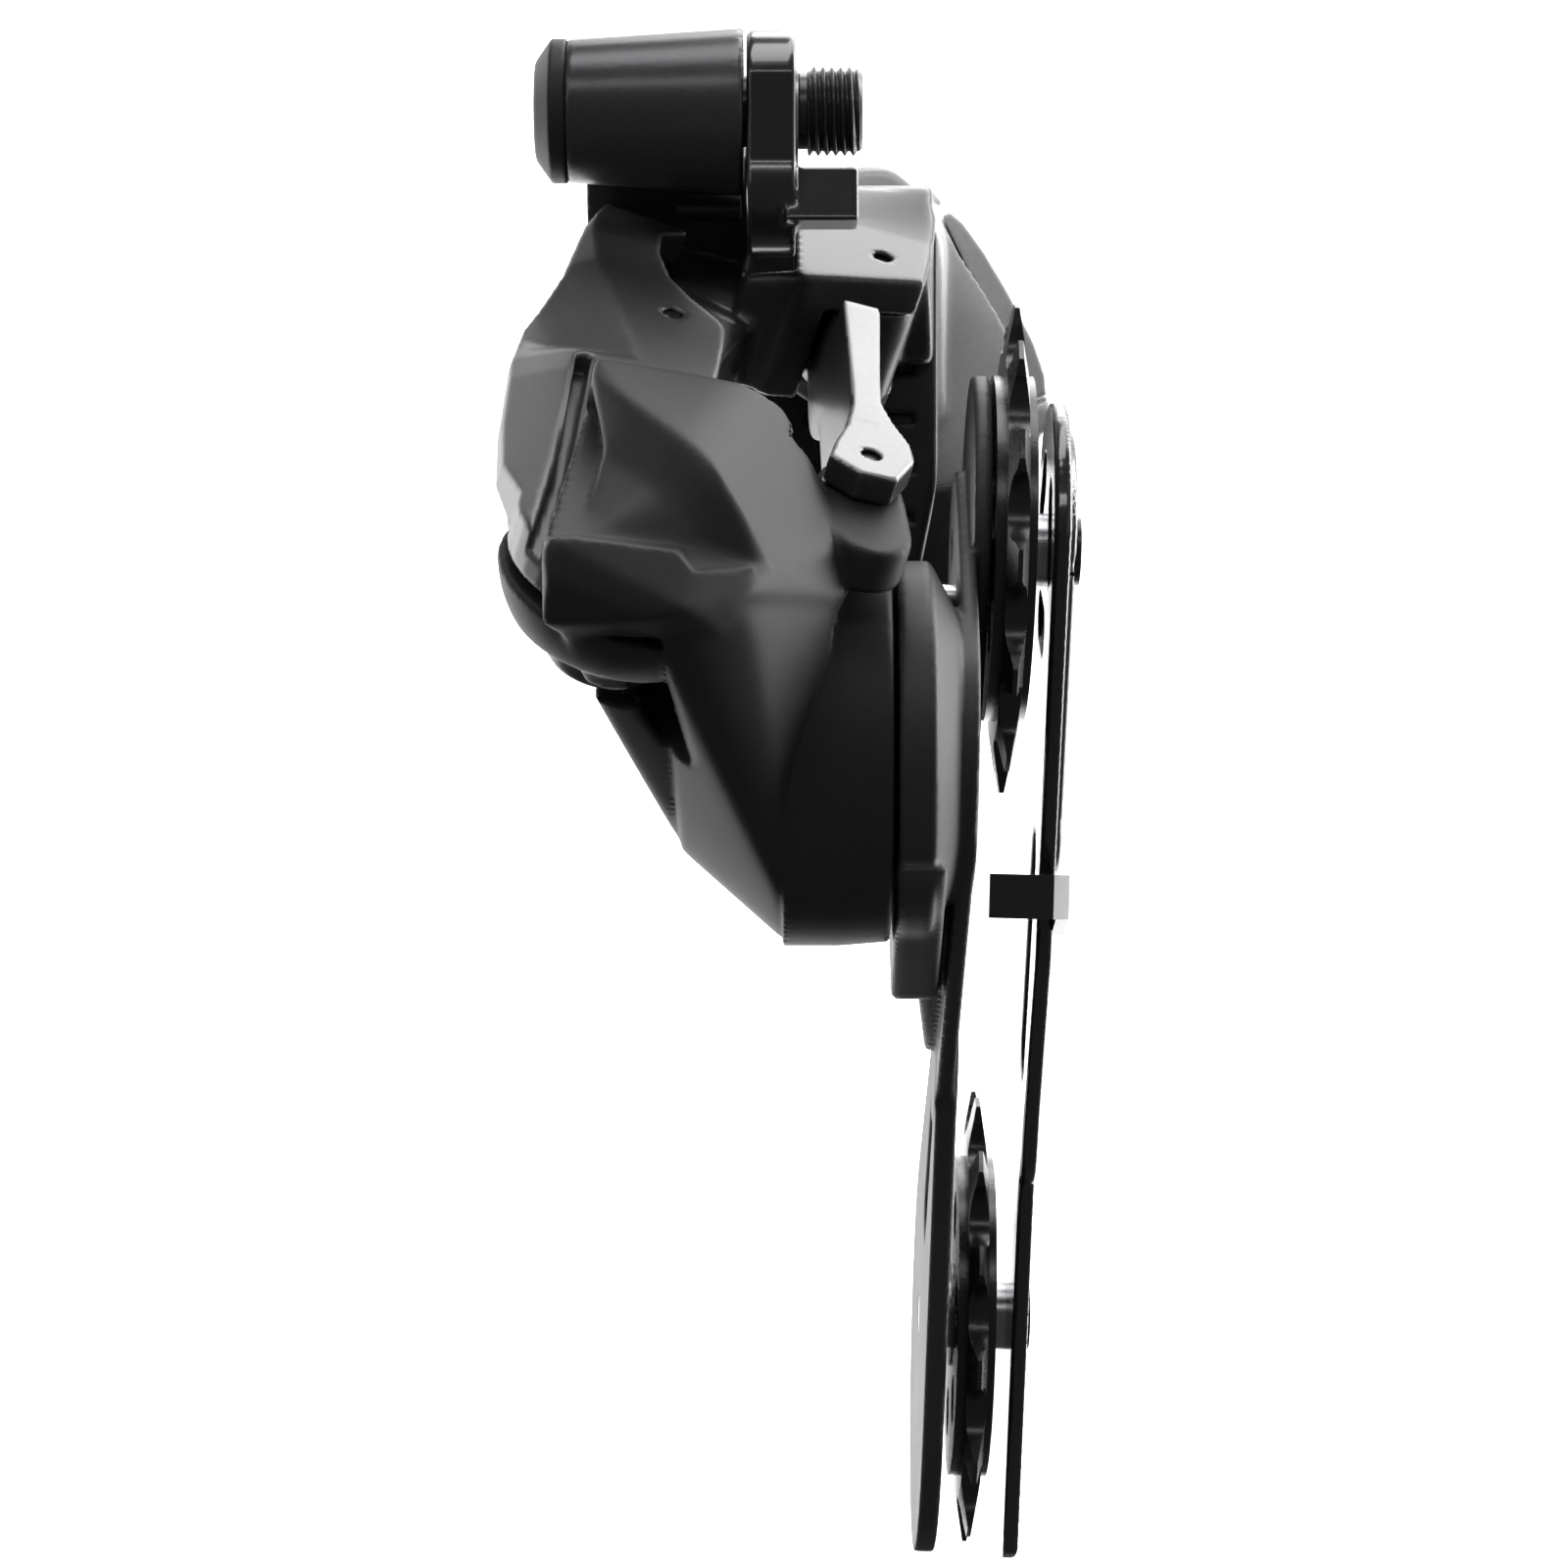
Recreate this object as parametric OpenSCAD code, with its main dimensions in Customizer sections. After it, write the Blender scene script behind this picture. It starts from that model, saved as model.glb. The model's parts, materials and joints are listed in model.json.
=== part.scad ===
// Electronic long-cage rear derailleur.
// Origin: axis of the hanger bolt where the stop plate meets the hanger.
// +X points inboard (towards the wheel), +Y rearward, +Z up.

/* [Hanger side] */
// Major diameter of the hanger thread
bolt_d = 10; // [9.9:0.05:10]
// Length of the threaded stub
bolt_len = 7.3; // [6.5:0.1:8]
// Radius of the stop plate
stop_r = 9; // [8.8:0.1:9.4]
/* [Upper knuckle] */
// Outboard radius of the upper barrel
barrel_r1 = 8; // [7.8:0.1:8.4]
// Inboard radius of the upper barrel
barrel_r2 = 9.3; // [9:0.1:9.5]
/* [Linkage] */
// Tilt of the four link pins about the sideways axis, degrees
pin_tilt = 33.5; // [33:0.1:34]
// Lean of the four link pins inboard, degrees
pin_lean = 16; // [15.5:0.1:16.5]
// Radius of the link pins
pin_r = 2; // [1.8:0.05:2.1]
// Pin to pin length of both links
link_len = 48.4; // [48.2:0.1:48.6]
/* [Lower knuckle] */
// Outer radius of the spring housing
house_r = 21.5; // [21:0.1:21.8]
// Radius of the cage pivot axle
axle_r = 5; // [4.8:0.1:5.2]
/* [Cage] */
// Teeth on each pulley
teeth = 13; // [13:1:13]
// Chain pitch
pitch = 12.7; // [12.7:0.01:12.7]
// Thickness of each cage plate
plate_t = 1.9; // [1.8:0.1:2.1]
/* [Battery] */
// Length of the battery
cell_len = 24; // [22:0.5:24.5]

/* [Hidden] */
$fn = 64;
e = 0.02;
P2 = [9.9, 12, -15];            // front end of the inner link's upper pin
p1 = [-23.9, -21.1];            // pin positions across the pins
p2 = [0, 0];
p3 = [-2.3, -sqrt(link_len*link_len - 2.3*2.3)];
p4 = [p1[0] + p3[0], p1[1] + p3[1]];
PA = [0, -15, -72.4];           // cage pivot axis
cage_toe = 1.5;
gp = [23.57, 24, 23.94];        // guide pulley centre from the cage axis
tp = [23.57, 65, -70];          // tension pulley centre from the cage axis
pr = pitch / 2 / sin(180 / teeth);

module lf() { translate(P2) rotate([pin_tilt, 0, 0]) rotate([0, pin_lean, 0]) children(); }
module cf() { translate(PA) rotate([0, cage_toe, 0]) children(); }
module xcyl(x0, x1, r, y = 0, z = 0, r2 = -1) {
  translate([x0, y, z]) rotate([0, 90, 0]) cylinder(h = x1 - x0, r1 = r, r2 = r2 < 0 ? r : r2);
}
module wcyl(c, w0, w1, r) { translate([c[0], c[1], w0]) cylinder(h = w1 - w0, r = r); }
module slab(pts, w0, w1) { translate([0, 0, w0]) linear_extrude(w1 - w0) polygon(pts); }
module dots(pts) { hull() for (p = pts) translate(p) cube(0.4, center = true); }
// polygon given across (y, z), extruded along x
module xslab(pts, x0, x1) {
  translate([x0, 0, 0]) rotate([90, 0, 90]) linear_extrude(x1 - x0) polygon(pts);
}
// polygon given across (x, z), extruded along y
module yslab(pts, y0, y1) {
  translate([0, y1, 0]) rotate([90, 0, 0]) linear_extrude(y1 - y0) polygon(pts);
}

// ---------------------------------------------------------------- hanger side
module b_bolt() color("#1a1a1c") difference() {
  union() {
    xcyl(-26.6, 0, 4);
    xcyl(-e, bolt_len - 0.9, bolt_d / 2);
    xcyl(bolt_len - 0.9 - e, bolt_len, bolt_d / 2, r2 = bolt_d / 2 - 0.9);
    xcyl(-28.6, -26.4, 5.6);
  }
  translate([-29, 0, 0]) rotate([0, 90, 0]) cylinder(h = 4, r = 2.9, $fn = 6);
}
module stop_plate() color("#18181a") difference() {
  union() {
    xcyl(-5.8, -0.3, stop_r);
    hull() { xcyl(-5.8, -0.3, 9.1); xcyl(-5.8, -0.3, 7.4, -1.5, -9.3); }
    xslab([[-7, -7.4], [-1.3, -7.4], [-1.3, -13.6], [-9.5, -13.6]], -0.35, 6.7);
  }
  xcyl(-7, 1, 4.06);
}
module b_washer() color("#8c8c90") difference() {
  xcyl(-0.3, 0, 7.4);
  xcyl(-1, 1, 5.06);
}
module b_bolt_clear() { xcyl(-40, 1, 4.06); }

// ---------------------------------------------------------------- upper knuckle
module b_keep() lf() {
  // room for both ears of the outer link and for the inner link
  translate([-60, -60, -7.8]) cube([44.5, 65, 14]);
  translate([-60, -60, -9.3]) cube([29.2, 64.5, 6]);
  translate([-60, -60, -21]) cube([44.5, 48, 4.9]);
  wcyl(p2, -16.8, -4.2, 6.1);
  translate([-6, -40, -16.8]) cube([32, 38, 12.6]);
  translate([-2, -20, -16.8]) cube([30, 24, 12.6]);
  translate([-7, -60, -16.8]) cube([30, 48.5, 30]);
}
module b_knuckle() color("#3b3c40") difference() {
  union() {
    difference() {
      union() {
        hull() { xcyl(-24.5, -7.5, 7.4); lf() translate([-32, 5.5, -15.5]) cube([21, 8, 8]); }
        lf() hull() { translate([-31, 5.5, -15.7]) cube([22, 8, 7.9]); wcyl(p1, -15.7, -8, 6.4); }
        lf() hull() { translate([-22, -4, -15.7]) cube([8, 18, 8]);
          slab([[-13.1, -4.1], [-9.8, -10.4], [4.9, -3.9], [6, 3.5], [6.3, 14], [-10, 16]], -16.4, 0); }
        lf() hull() { wcyl([0, 3], -20.2, -10, 6.6); translate([-10, 4, -20]) cube([10, 9, 10]); }
        hull() { lf() translate([-9, 8, -18]) cube([15, 9, 17]); translate([4.5, 27, -26]) cube([12, 3, 22]); }
      }
      b_keep();
      xcyl(-40, -6.3 + 20, 9.6);
      translate([-6.2, -30, -17.6]) cube([6.1, 41, 30]);
    }
    xcyl(-26.1, -6.2, barrel_r1, r2 = barrel_r2);
    intersection() {
      lf() slab([[-13.1, -4.1], [-9.8, -10.4], [4.9, -3.9], [6, 3.5], [6.3, 12], [-10, 13]], -4.2, 0);
      translate([-0.0, -50, -50]) cube([60, 100, 40]);
    }
  }
  xcyl(-27, -6.3 + 2, 5.3);
  xcyl(-14.02, 2, 1.52, 10, -9.5);
  translate([-60, 29.98, -80]) cube([120, 40, 120]);
  lf() wcyl(p2, -30, 3, pin_r);
  lf() wcyl(p1, -30, -1, 3.05);
}
module b_cap() color("#121214") difference() {
  union() { xcyl(-27.9, -26.1, 8.1); xcyl(-29.7, -27.9 + e, 5.5, r2 = 8.1); }
  xcyl(-28.7, -20, 5.7);
  xcyl(-31, -20, 3.6);
}
module b_bushes() color("#d8d4c8") for (x = [-26, -11.3]) difference() {
  xcyl(x, x + 5, 5.3);
  xcyl(x - 1, x + 6, 4.04);
}
module b_tension_screw() color("#555558") {
  xcyl(-14, -6.6, 1.5, 10, -9.5);
}

// ---------------------------------------------------------------- battery side
bp = [[6.5, -38], [6.5, 1.5], [12, 1.5], [16, 0], [18.1, -3.5], [21.2, -6.3], [29.8, -20.8], [32, -27.6], [31.6, -31], [29.5, -34.5], [14, -41]];
// frame of the battery: x' along the sloping length, z' out of the door
module bf() { translate([21.2, 57, -6.3]) rotate([0, 64.1, 0]) children(); }
module battery_housing() color("#9a9c9e") difference() {
  union() {
    hull() { yslab(bp, 49, 65); yslab([[8, -36], [8, 0], [12, 0], [27, -22], [26, -31], [15, -38]], 48, 67); }
    hull() { yslab([[4.5, -34], [4.5, 0], [8, 1.5], [12, 1.2], [16, -2], [18.5, -8], [18.5, -30], [12, -35]], 47, 50);
      yslab([[5, -33], [5, 0], [12, 0.8], [16, -3], [17.5, -9], [17.5, -29]], 46.02, 47); }
    bf() hull() { translate([26, -8, -1.4]) rotate([-90, 0, 0]) cylinder(h = 16, r = 1.7); translate([24, -8, -7]) cube([2, 16, 2]); }
  }
  bf() translate([-1, -6.5, -14]) cube([25.8, 13, 20]);
  bf() translate([-4, -8.3, -2.3]) cube([28, 16.6, 8]);
  bf() translate([23.6, -4.3, -3.6]) cube([6, 8.6, 8]);
  translate([6, 57, -20]) rotate([0, 90, 0]) cylinder(h = 9.4, r = 2.6, center = true);
  translate([10, 56, 1.6]) cylinder(h = 3, r = 1.6, center = true);
  bf() translate([26, -8.3, -1.4]) rotate([-90, 0, 0]) cylinder(h = 16.6, r = 0.76);
}
module battery() color("#2b2b2e") bf() translate([0.2, -6.2, -13.6]) cube([cell_len - 0.6, 12.4, 9.6]);
module contact_block() color("#b8963c") bf() {
  translate([cell_len - 0.4, -4, -13]) cube([1.2, 8, 4]);
}
module door_seal() color("#1c1c1c") bf() difference() {
  translate([-0.9, -6.4, -3.3]) cube([24.6, 12.8, 0.9]);
  translate([0.6, -4.9, -4]) cube([21.6, 9.8, 3]);
}
module battery_door() color("#a4a6a8") bf() difference() {
  union() {
    translate([0, 8, 0]) rotate([90, 0, 0]) linear_extrude(16)
      polygon([[-2.6, -2], [-2.6, -0.9], [-0.6, 0], [4, 0.8], [10, 1.3], [17, 1.4], [21, 0.9], [23.3, 0], [23.3, -2]]);
    translate([0, 4, 0]) rotate([90, 0, 0]) linear_extrude(8) polygon([[23, -2], [23, 0], [26, 0.3], [26, -2.9]]);
    translate([26, -4, -1.4]) rotate([-90, 0, 0]) cylinder(h = 8, r = 1.7);
  }
  translate([26, -20, -1.4]) rotate([-90, 0, 0]) cylinder(h = 40, r = 0.8);
}
module door_pin() color("#8a8a8e") bf() translate([26, -8, -1.4]) rotate([-90, 0, 0]) cylinder(h = 16, r = 0.76);
module mode_button() color("#2a2a2c") translate([1.2, 57, -20]) rotate([0, 90, 0]) { translate([0, 0, 4.1]) cylinder(h = 4.2, r = 2.5); }
module led_lens() color("#e8f0e8") translate([10, 56, 0.1]) cylinder(h = 1.4, r = 1.6);
module circuit_board() color("#1f5a34") translate([6, 31.6, -50]) cube([1.2, 13, 26]);
module control_housing() color("#242426") difference() {
  union() {
    yslab([[-2, -53], [-2, -42], [-8.5, -38], [-8.5, -24], [-2, -14], [-2, -10], [2, -6.5], [14, -6.5], [16.9, -9.5], [16.9, -40], [14, -54], [4, -57]], 30, 46);
    yslab([[2, -41.3], [14.1, -41.3], [21, -38.4], [21, -54], [17, -57], [5, -57.5], [2, -53]], 45.9, 56);
  }
  translate([2.5, 31.5, -51]) cube([8, 13.2, 28]);
  for (z = [-50, -44, -38]) translate([-3, 34, z]) cube([2, 8, 2]);
}

// ---------------------------------------------------------------- links
ear = [[-32.5, 2.4], [-23.4, 0.9], [-22.6, -0.2], [-25.6, -1.9], [-25.8, -6.9], [-24.4, -12.4], [-21.9, -16.2], [-18.6, -19.8], [-17.8, -21.5], [-17.9, -26], [-19.5, -45], [-18.5, -58]];
function arc(c, r, a0, a1, n) = [for (i = [0:n]) c + r * [cos(a0 + (a1 - a0) * i / n), sin(a0 + (a1 - a0) * i / n)]];
module outer_link() color("#55565a") lf() difference() {
  union() {
    // front ear, outboard face and rounded lower end
    slab(concat(ear, arc(p4, 12.6, 20, -190, 20), [[-40.6, -60], [-41, -50], [-40.7, -34], [-39.5, -24.2], [-36.3, -14.4], [-34.6, -4]]), -8.6, -3);
    hull() {
      slab([[-31, -6], [-31, -54], [-39.8, -54], [-40.8, -34], [-39.5, -24], [-36, -12]], -9, -8.5);
      slab([[-31, -10], [-31, -50], [-37.4, -48], [-38.4, -40], [-38.6, -26], [-38.2, -12]], -20.2, -19.8);
    }
    hull() { wcyl(p1, -20.2, -16.3, 5); translate([-38, -34, -20.2]) cube([8, 18, 3.9]); }
    hull() { wcyl(p4, -20.2, -16.4, 6); translate([-37, -54, -20.2]) cube([9, 8, 3.8]); }
    hull() { translate([-36, -50, -20.2]) cube([8, 30, 4]); translate([-24, -45, -20.2]) cube([2, 20, 3.9]); }
  }
  wcyl(p1, -16.3, -7.5, 7.2);
  translate([-31.1, -28, -16.3]) cube([30, 60, 8.8]);
  wcyl(p4, -16.4, -9.3, 14);
  wcyl(p1, -30, 0, pin_r);
  wcyl(p4, -30, 0, pin_r);
}
module inner_link() color("#8e9094") lf() difference() {
  union() {
    wcyl(p2, -16.5, -4.5, 5.6);
    // web and narrow front arm
    hull() { translate([-4.9, -20, -15]) cube([4.4, 17, 10]); translate([-4.2, -24, -12]) cube([3, 4, 8]); }
    slab([[-4.9, -14], [-0.6, -14], [-1.0, -30], [-0.9, -36], [2.2, -44], [2.6, -47.5], [0.5, -52.6], [-3.4, -53], [-6.9, -50.6], [-5, -44], [-4.1, -36]], -3.5, 0);
    slab([[-4.9, -13], [-0.6, -13], [-1.1, -41.5], [-4.1, -41.5]], -11.9, -0.1);
    hull() { wcyl(p3, -11.9, -9, 4.4); translate([-4.1, -42, -11.9]) cube([3, 2, 2.9]); }
  }
  wcyl(p3, -9, -3.5, 5.7);
  wcyl(p2, -30, 3, 3.05);
  wcyl(p3, -30, 3, pin_r);
}
module link_pin_1() color("#b0b0b4") lf() wcyl(p1, -20.2, -3.6, pin_r);
module link_pin_2() color("#b0b0b4") lf() wcyl(p2, -20.2, -0.6, pin_r);
module link_pin_3() color("#b0b0b4") lf() wcyl(p3, -11.9, -0.6, pin_r);
module link_pin_4() color("#b0b0b4") lf() wcyl(p4, -20.2, -3.2, pin_r);
module bush(c, w0, w1) lf() difference() { wcyl(c, w0, w1, 3.05); wcyl(c, w0 - 1, w1 + 1, pin_r + 0.03); }
module bush_1() color("#c8a050") bush(p1, -15.7, -8);
module bush_2() color("#c8a050") bush(p2, -16.5, -4.5);
module bush_4() color("#c8a050") bush(p4, -15.9, -9.8);

// ---------------------------------------------------------------- lower knuckle
// front shell: sloping plate, its ridge and the shelf below it
module p_front() dots([[-21.1, -36, -31.5], [-16.2, -40, -34.7], [-8.1, -34, -33.8], [-5.4, -32, -34.1], [-1.5, -29.5, -36.4],
  [2, -33, -44.3], [5.6, -35, -51.9], [6.8, -32, -52.9], [-18.2, -43, -36], [-11.5, -50, -41.1], [-8.2, -52, -44.7],
  [-5.3, -52, -49.7], [-2.4, -50, -54.4], [-1.8, -47, -56.6], [-1.8, -42, -60.1], [4.6, -36.2, -56.8],
  [-24.3, -62, -52.3], [-25.5, -61, -53.4], [-24.6, -62, -56.1], [-15.1, -60, -60], [-25.5, -58, -60.5], [-14.6, -56, -62],
  [-7.9, -56.8, -58], [-11.3, -58.8, -59], [-4.5, -54, -57], [-8, -54.5, -61.5],
  [-22.1, -34, -36], [-10, -28, -38], [-2, -26, -42], [5, -28, -54], [2, -34, -62], [-25, -52, -58], [-20, -50, -63], [-13, -42, -64]]);
// barrel round the cage pivot and the web that joins it to the shelf
module p_low() {
  hull() {
    for (q = [[-14.6, -56, -62], [-7.9, -56.8, -58], [-8, -54.5, -61.6], [-10.9, -55.5, -62.5], [-4.5, -52, -60.5], [-2.4, -50, -54.4], [-1.8, -47, -56.6], [-1.8, -42, -60.1], [-13.1, -40, -63.2], [4.6, -36.2, -56.8], [-4, -30, -52]]) translate(q) cube(0.4, center = true);
    xcyl(-1.7, -1.2, house_r, PA[1], PA[2]);
    xcyl(-13.4, -13, 11, PA[1], PA[2]);
    xcyl(-10.5, -10, 12.3, PA[1], PA[2]);
  }
  hull() {
    for (q = [[-25.5, -58, -60.5], [-14.6, -56, -62], [-23.9, -55, -61.6], [-22.1, -52, -62.6], [-21.7, -46, -65.2], [-20.9, -42, -67.2],
      [-16.9, -36, -71.4], [-14.6, -31, -74.6], [-18, -34, -62]]) translate(q) cube(0.4, center = true);
    xcyl(-13.4, -11, 10.5, PA[1], PA[2]);
  }
}
module p_keep() lf() {
  wcyl(p4, -9.6, -2.9, 13);
  wcyl(p4, -20.6, -16.0, 8);
  translate([-100, p4[1], -20.7]) cube([83, 200, 17.8]);
  translate([-60, -50.5, -12.4]) cube([80, 100, 12.8]);
  wcyl(p3, -12.4, 0.4, 6);
}
module p_knuckle() color("#2e2e30") difference() {
  union() {
    difference() {
      union() {
        intersection() { union() { p_low(); p_front(); }
          lf() translate([-100, -150, -100]) cube([200, 250, 97]); }
        xcyl(-1.7, 9.9, house_r, PA[1], PA[2]);
      }
      p_keep();
    }
    // boss on the outer link's lower pin, lug on the inner link's lower pin
    lf() intersection() { translate([p4[0], p4[1], -7]) sphere(r = 13.5); translate([-60, -100, -15.9]) cube([60, 60, 6.1]); }
    lf() hull() { wcyl(p3, -8.8, -3.8, 4.9); wcyl([-1.5, -58], -8.8, -3.8, 4.9); }
  }
  xcyl(-7.2, 20, 13.5, PA[1], PA[2]);
  xcyl(-9.9, 0, 5.62, PA[1], PA[2]);
  xcyl(-11.9, -9.8, 7, PA[1], PA[2]);
  lf() wcyl(p4, -30, 3, 3.05);
  lf() wcyl(p3, -8.9, -3, pin_r + 0.04);
  cover_screw_bores();
  p_motor_room();
}
// motor lies across the knuckle, below both links
module p_motor_room() xcyl(-13.1, -3.5, 3.45, -33, -67);
module motor_unit() color("#b4b6ba") { xcyl(-13, -3.6, 3.4, -33, -67); }
module motor_cover() color("#303032") difference() {
  intersection() { p_front(); lf() translate([-100, -150, -2.95]) cube([200, 250, 40]); }
  lf() translate([-60, -50.5, -12.4]) cube([80, 100, 12.8]);
  lf() wcyl(p3, -12.4, 0.4, 6);
  cover_screw_bores();
}
screws = [[-11.6, -54.5], [-11.2, -65]];
module cover_screw_bores() lf() for (q = screws) wcyl(q, -9.02, -1.78, 1.02);
module cover_screws() color("#3a3a3c") lf() for (q = screws) wcyl(q, -9, -1.8, 1);
module p_spring() color("#8d8f93") for (i = [0:3]) translate([-6 + i * 2.3, PA[1], PA[2]]) rotate([0, 90, 0])
  rotate_extrude() translate([9.6, 0]) circle(r = 1, $fn = 16);
module clutch_ring() color("#a8aaae") difference() {
  xcyl(2.6, 7.4, 13.5, PA[1], PA[2]);
  xcyl(2, 8, 9.4, PA[1], PA[2]);
}
module p_bush() color("#c8a050") difference() {
  xcyl(-9.7, -7.3, 5.62, PA[1], PA[2]);
  xcyl(-12, -6, axle_r + 0.04, PA[1], PA[2]);
}
module p_seal() color("#141414") difference() {
  xcyl(7.6, 9.6, 13.5, PA[1], PA[2]);
  xcyl(7, 11, 12.4, PA[1], PA[2]);
}

// ---------------------------------------------------------------- cage
function d2(a) = [cos(a), sin(a)];
module yz(p) translate([0, p[1], p[2]]) children();
// outline of a plate from above the guide pulley to below the tension pulley
module strap(x0, x1, r0, r1, g, t) hull() { xcyl(x0, x1, r0, g[1], g[2]); xcyl(x0, x1, r1, t[1], t[2]); }
module cage_outer_plate() color("#232325") difference() {
  union() {
    // hub flange
    xcyl(10.5, 14.4, 20.6, PA[1], PA[2]);
    xcyl(14.4, 17.6, 20.6, PA[1], PA[2], r2 = 14.5);
    xcyl(7.7, 10.6, 12.2, PA[1], PA[2]);
    cf() {
      hull() { xcyl(17.2, 19.1, 15, 0, 0); xcyl(17.2, 19.1, 9, gp[1], gp[2]); }
      hull() { xcyl(18.9, 18.9 + plate_t, 19, gp[1] + 1, gp[2] + 1); xcyl(18.9, 18.9 + plate_t, 12, gp[1] + 9, gp[2] - 20); }
      hull() { xcyl(17.2, 19.1, 14, 2, -4); xcyl(17.2, 19.1, 7, 34, -36); }
      hull() { xcyl(17.2, 19.6, 7, 34, -36); xcyl(17.2, 19.6, 25.5, tp[1], tp[2] - 4); }
      hull() { xcyl(12.6, 17.4, 4.5, 5, -17); xcyl(15.2, 17.4, 3, 30, -32); }
    }
    xslab([[-33, -85], [-12, -94], [-3.5, -100.5], [3, -96], [5, -84]], 10.5, 15.6);
  }
  xcyl(0, 30, axle_r, PA[1], PA[2]);
  cf() { xcyl(8, 17.2, 1.6, 9.8, 17.4); xcyl(10, 40, 2.5, gp[1], gp[2]); xcyl(10, 40, 2.5, tp[1], tp[2]);
    hull() { xcyl(10, 30, 3, 40, -43); xcyl(10, 30, 3.4, 52, -56); } }
}
ix = 27.9;
module cage_inner_plate() color("#1b1b1d") cf() difference() {
  union() {
    hull() { xcyl(ix, ix + plate_t, 17, gp[1], gp[2]); xcyl(ix, ix + plate_t, 9, 30, -20); }
    hull() { xcyl(ix, ix + plate_t, 9, 30, -20); xcyl(ix, ix + plate_t, 7, 44, -44); }
    hull() { xcyl(ix, ix + plate_t, 7, 44, -44); xcyl(ix, ix + plate_t, 26, tp[1], tp[2] - 4); }
    // raised stiffening rim round the guide pulley
    hull() { xcyl(ix + 1, ix + 2.8, 14, gp[1], gp[2]); xcyl(ix + 1, ix + 2.8, 6, 28, -8); }
  }
  xcyl(20, 40, 2.5, gp[1], gp[2]);
  xcyl(20, 40, 2.5, tp[1], tp[2]);
  hull() { xcyl(20, 40, 4, 30, -12); xcyl(20, 40, 3.6, 41, -35); }
  for (a = [30, 150, 270]) hull() { xcyl(20, 40, 2.6, gp[1] + 9.4 * cos(a), gp[2] + 9.4 * sin(a)); xcyl(20, 40, 2.6, gp[1] + 9.4 * cos(a + 40), gp[2] + 9.4 * sin(a + 40)); }
}
module p_axle() color("#9c9ea2") difference() {
  union() { xcyl(-11.6, 17.6, axle_r, PA[1], PA[2]); xcyl(-7, -6.2, 7, PA[1], PA[2]); }
  translate([14, PA[1], PA[2]]) rotate([0, 90, 0]) cylinder(h = 5, r = 2.4, $fn = 6);
  difference() { xcyl(-10.8, -10.2, 6, PA[1], PA[2]); xcyl(-12, -9, 4.2, PA[1], PA[2]); }
}
module axle_clip() color("#707276") difference() {
  xcyl(-10.8, -10.2, 6.4, PA[1], PA[2]);
  xcyl(-12, -9, 4.24, PA[1], PA[2]);
  translate([-13, PA[1] - 2, PA[2]]) cube([5, 4, 12]);
}
module stop_pin() color("#88898c") cf() xcyl(10.1, 17.2, 1.6, 9.8, 17.4);
// chain guard tab bent over the chain between the plates
module chain_guard() color("#1d1d1f") cf() {
  hull() { xcyl(ix + plate_t, ix + plate_t + 1.3, 3, 24, -17.5); xcyl(ix + plate_t, ix + plate_t + 1.3, 2.5, 16.5, -15.8); }
  hull() { xcyl(ix + plate_t, ix + plate_t + 1.3, 2.5, 16.5, -15.8); translate([ix + plate_t, 14, -18.3]) cube([1.3, 1, 5]); }
  hull() { translate([ix + plate_t, 14, -18.3]) cube([1.3, 1, 5]); translate([28.6, 11.9, -18.3]) cube([0.6, 1.4, 5]); }
  translate([21.9, 11.6, -18.3]) cube([7, 1.5, 5]);
}
module guide_bolt() color("#4a4a4e") cf() difference() {
  union() { xcyl(18.9, ix + plate_t, 2.5, gp[1], gp[2]); xcyl(ix + 2.8, ix + 4, 4, gp[1], gp[2]); xcyl(ix + 1.9, ix + 3, 2.5, gp[1], gp[2]); }
  translate([ix + 2.4, gp[1], gp[2]]) rotate([0, 90, 0]) cylinder(h = 3, r = 1.7, $fn = 6);
}
module tension_bolt() color("#4a4a4e") cf() difference() {
  union() { xcyl(17.2, ix + plate_t + 0.2, 2.5, tp[1], tp[2]); xcyl(ix + 1.9, ix + 3.1, 4, tp[1], tp[2]); }
  translate([ix + 1.5, tp[1], tp[2]]) rotate([0, 90, 0]) cylinder(h = 3, r = 1.7, $fn = 6);
}
module sleeve(c, x0, x1) cf() difference() { xcyl(x0, x1, 4.2, c[1], c[2]); xcyl(x0 - 1, x1 + 1, 2.5, c[1], c[2]); }
module guide_sleeve() color("#b8b8bc") sleeve(gp, 20.8, ix);
module tension_sleeve() color("#b8b8bc") sleeve(tp, 19.6, ix);
// pulley tooth form: rounded roots on the chain rollers, narrow tapered tips
rr = 3.95;
tip = 28.2;
module tooth_plan() difference() {
  circle(r = tip, $fn = 104);
  for (i = [0:teeth - 1]) rotate(i * 360 / teeth + 180 / teeth) {
    translate([pr, 0]) circle(r = rr, $fn = 28);
    polygon([[pr - 0.4, -rr], [tip + 1, -6.05], [tip + 1, 6.05], [pr - 0.4, rr]]);
  }
}
module pulley(c) cf() translate([c[0], c[1], c[2]]) rotate([0, 90, 0]) difference() {
  union() {
    intersection() {
      translate([0, 0, -1.2]) linear_extrude(2.4) tooth_plan();
      rotate_extrude($fn = 104) polygon([[0, -1.2], [pr - 3.6, -1.2], [tip + 0.1, -0.25], [tip + 0.1, 0.25], [pr - 3.6, 1.2], [0, 1.2]]);
    }
    cylinder(h = 4.6, r = pr - 6.6, center = true);
  }
  cylinder(h = 10, r = 6.4, center = true);
  for (i = [0:5]) rotate(i * 60 + 15) translate([13.2, 0]) cylinder(h = 10, r = 3.1, center = true, $fn = 32);
}
module guide_pulley() color("#161617") pulley(gp);
module tension_pulley() color("#161617") pulley(tp);
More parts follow.
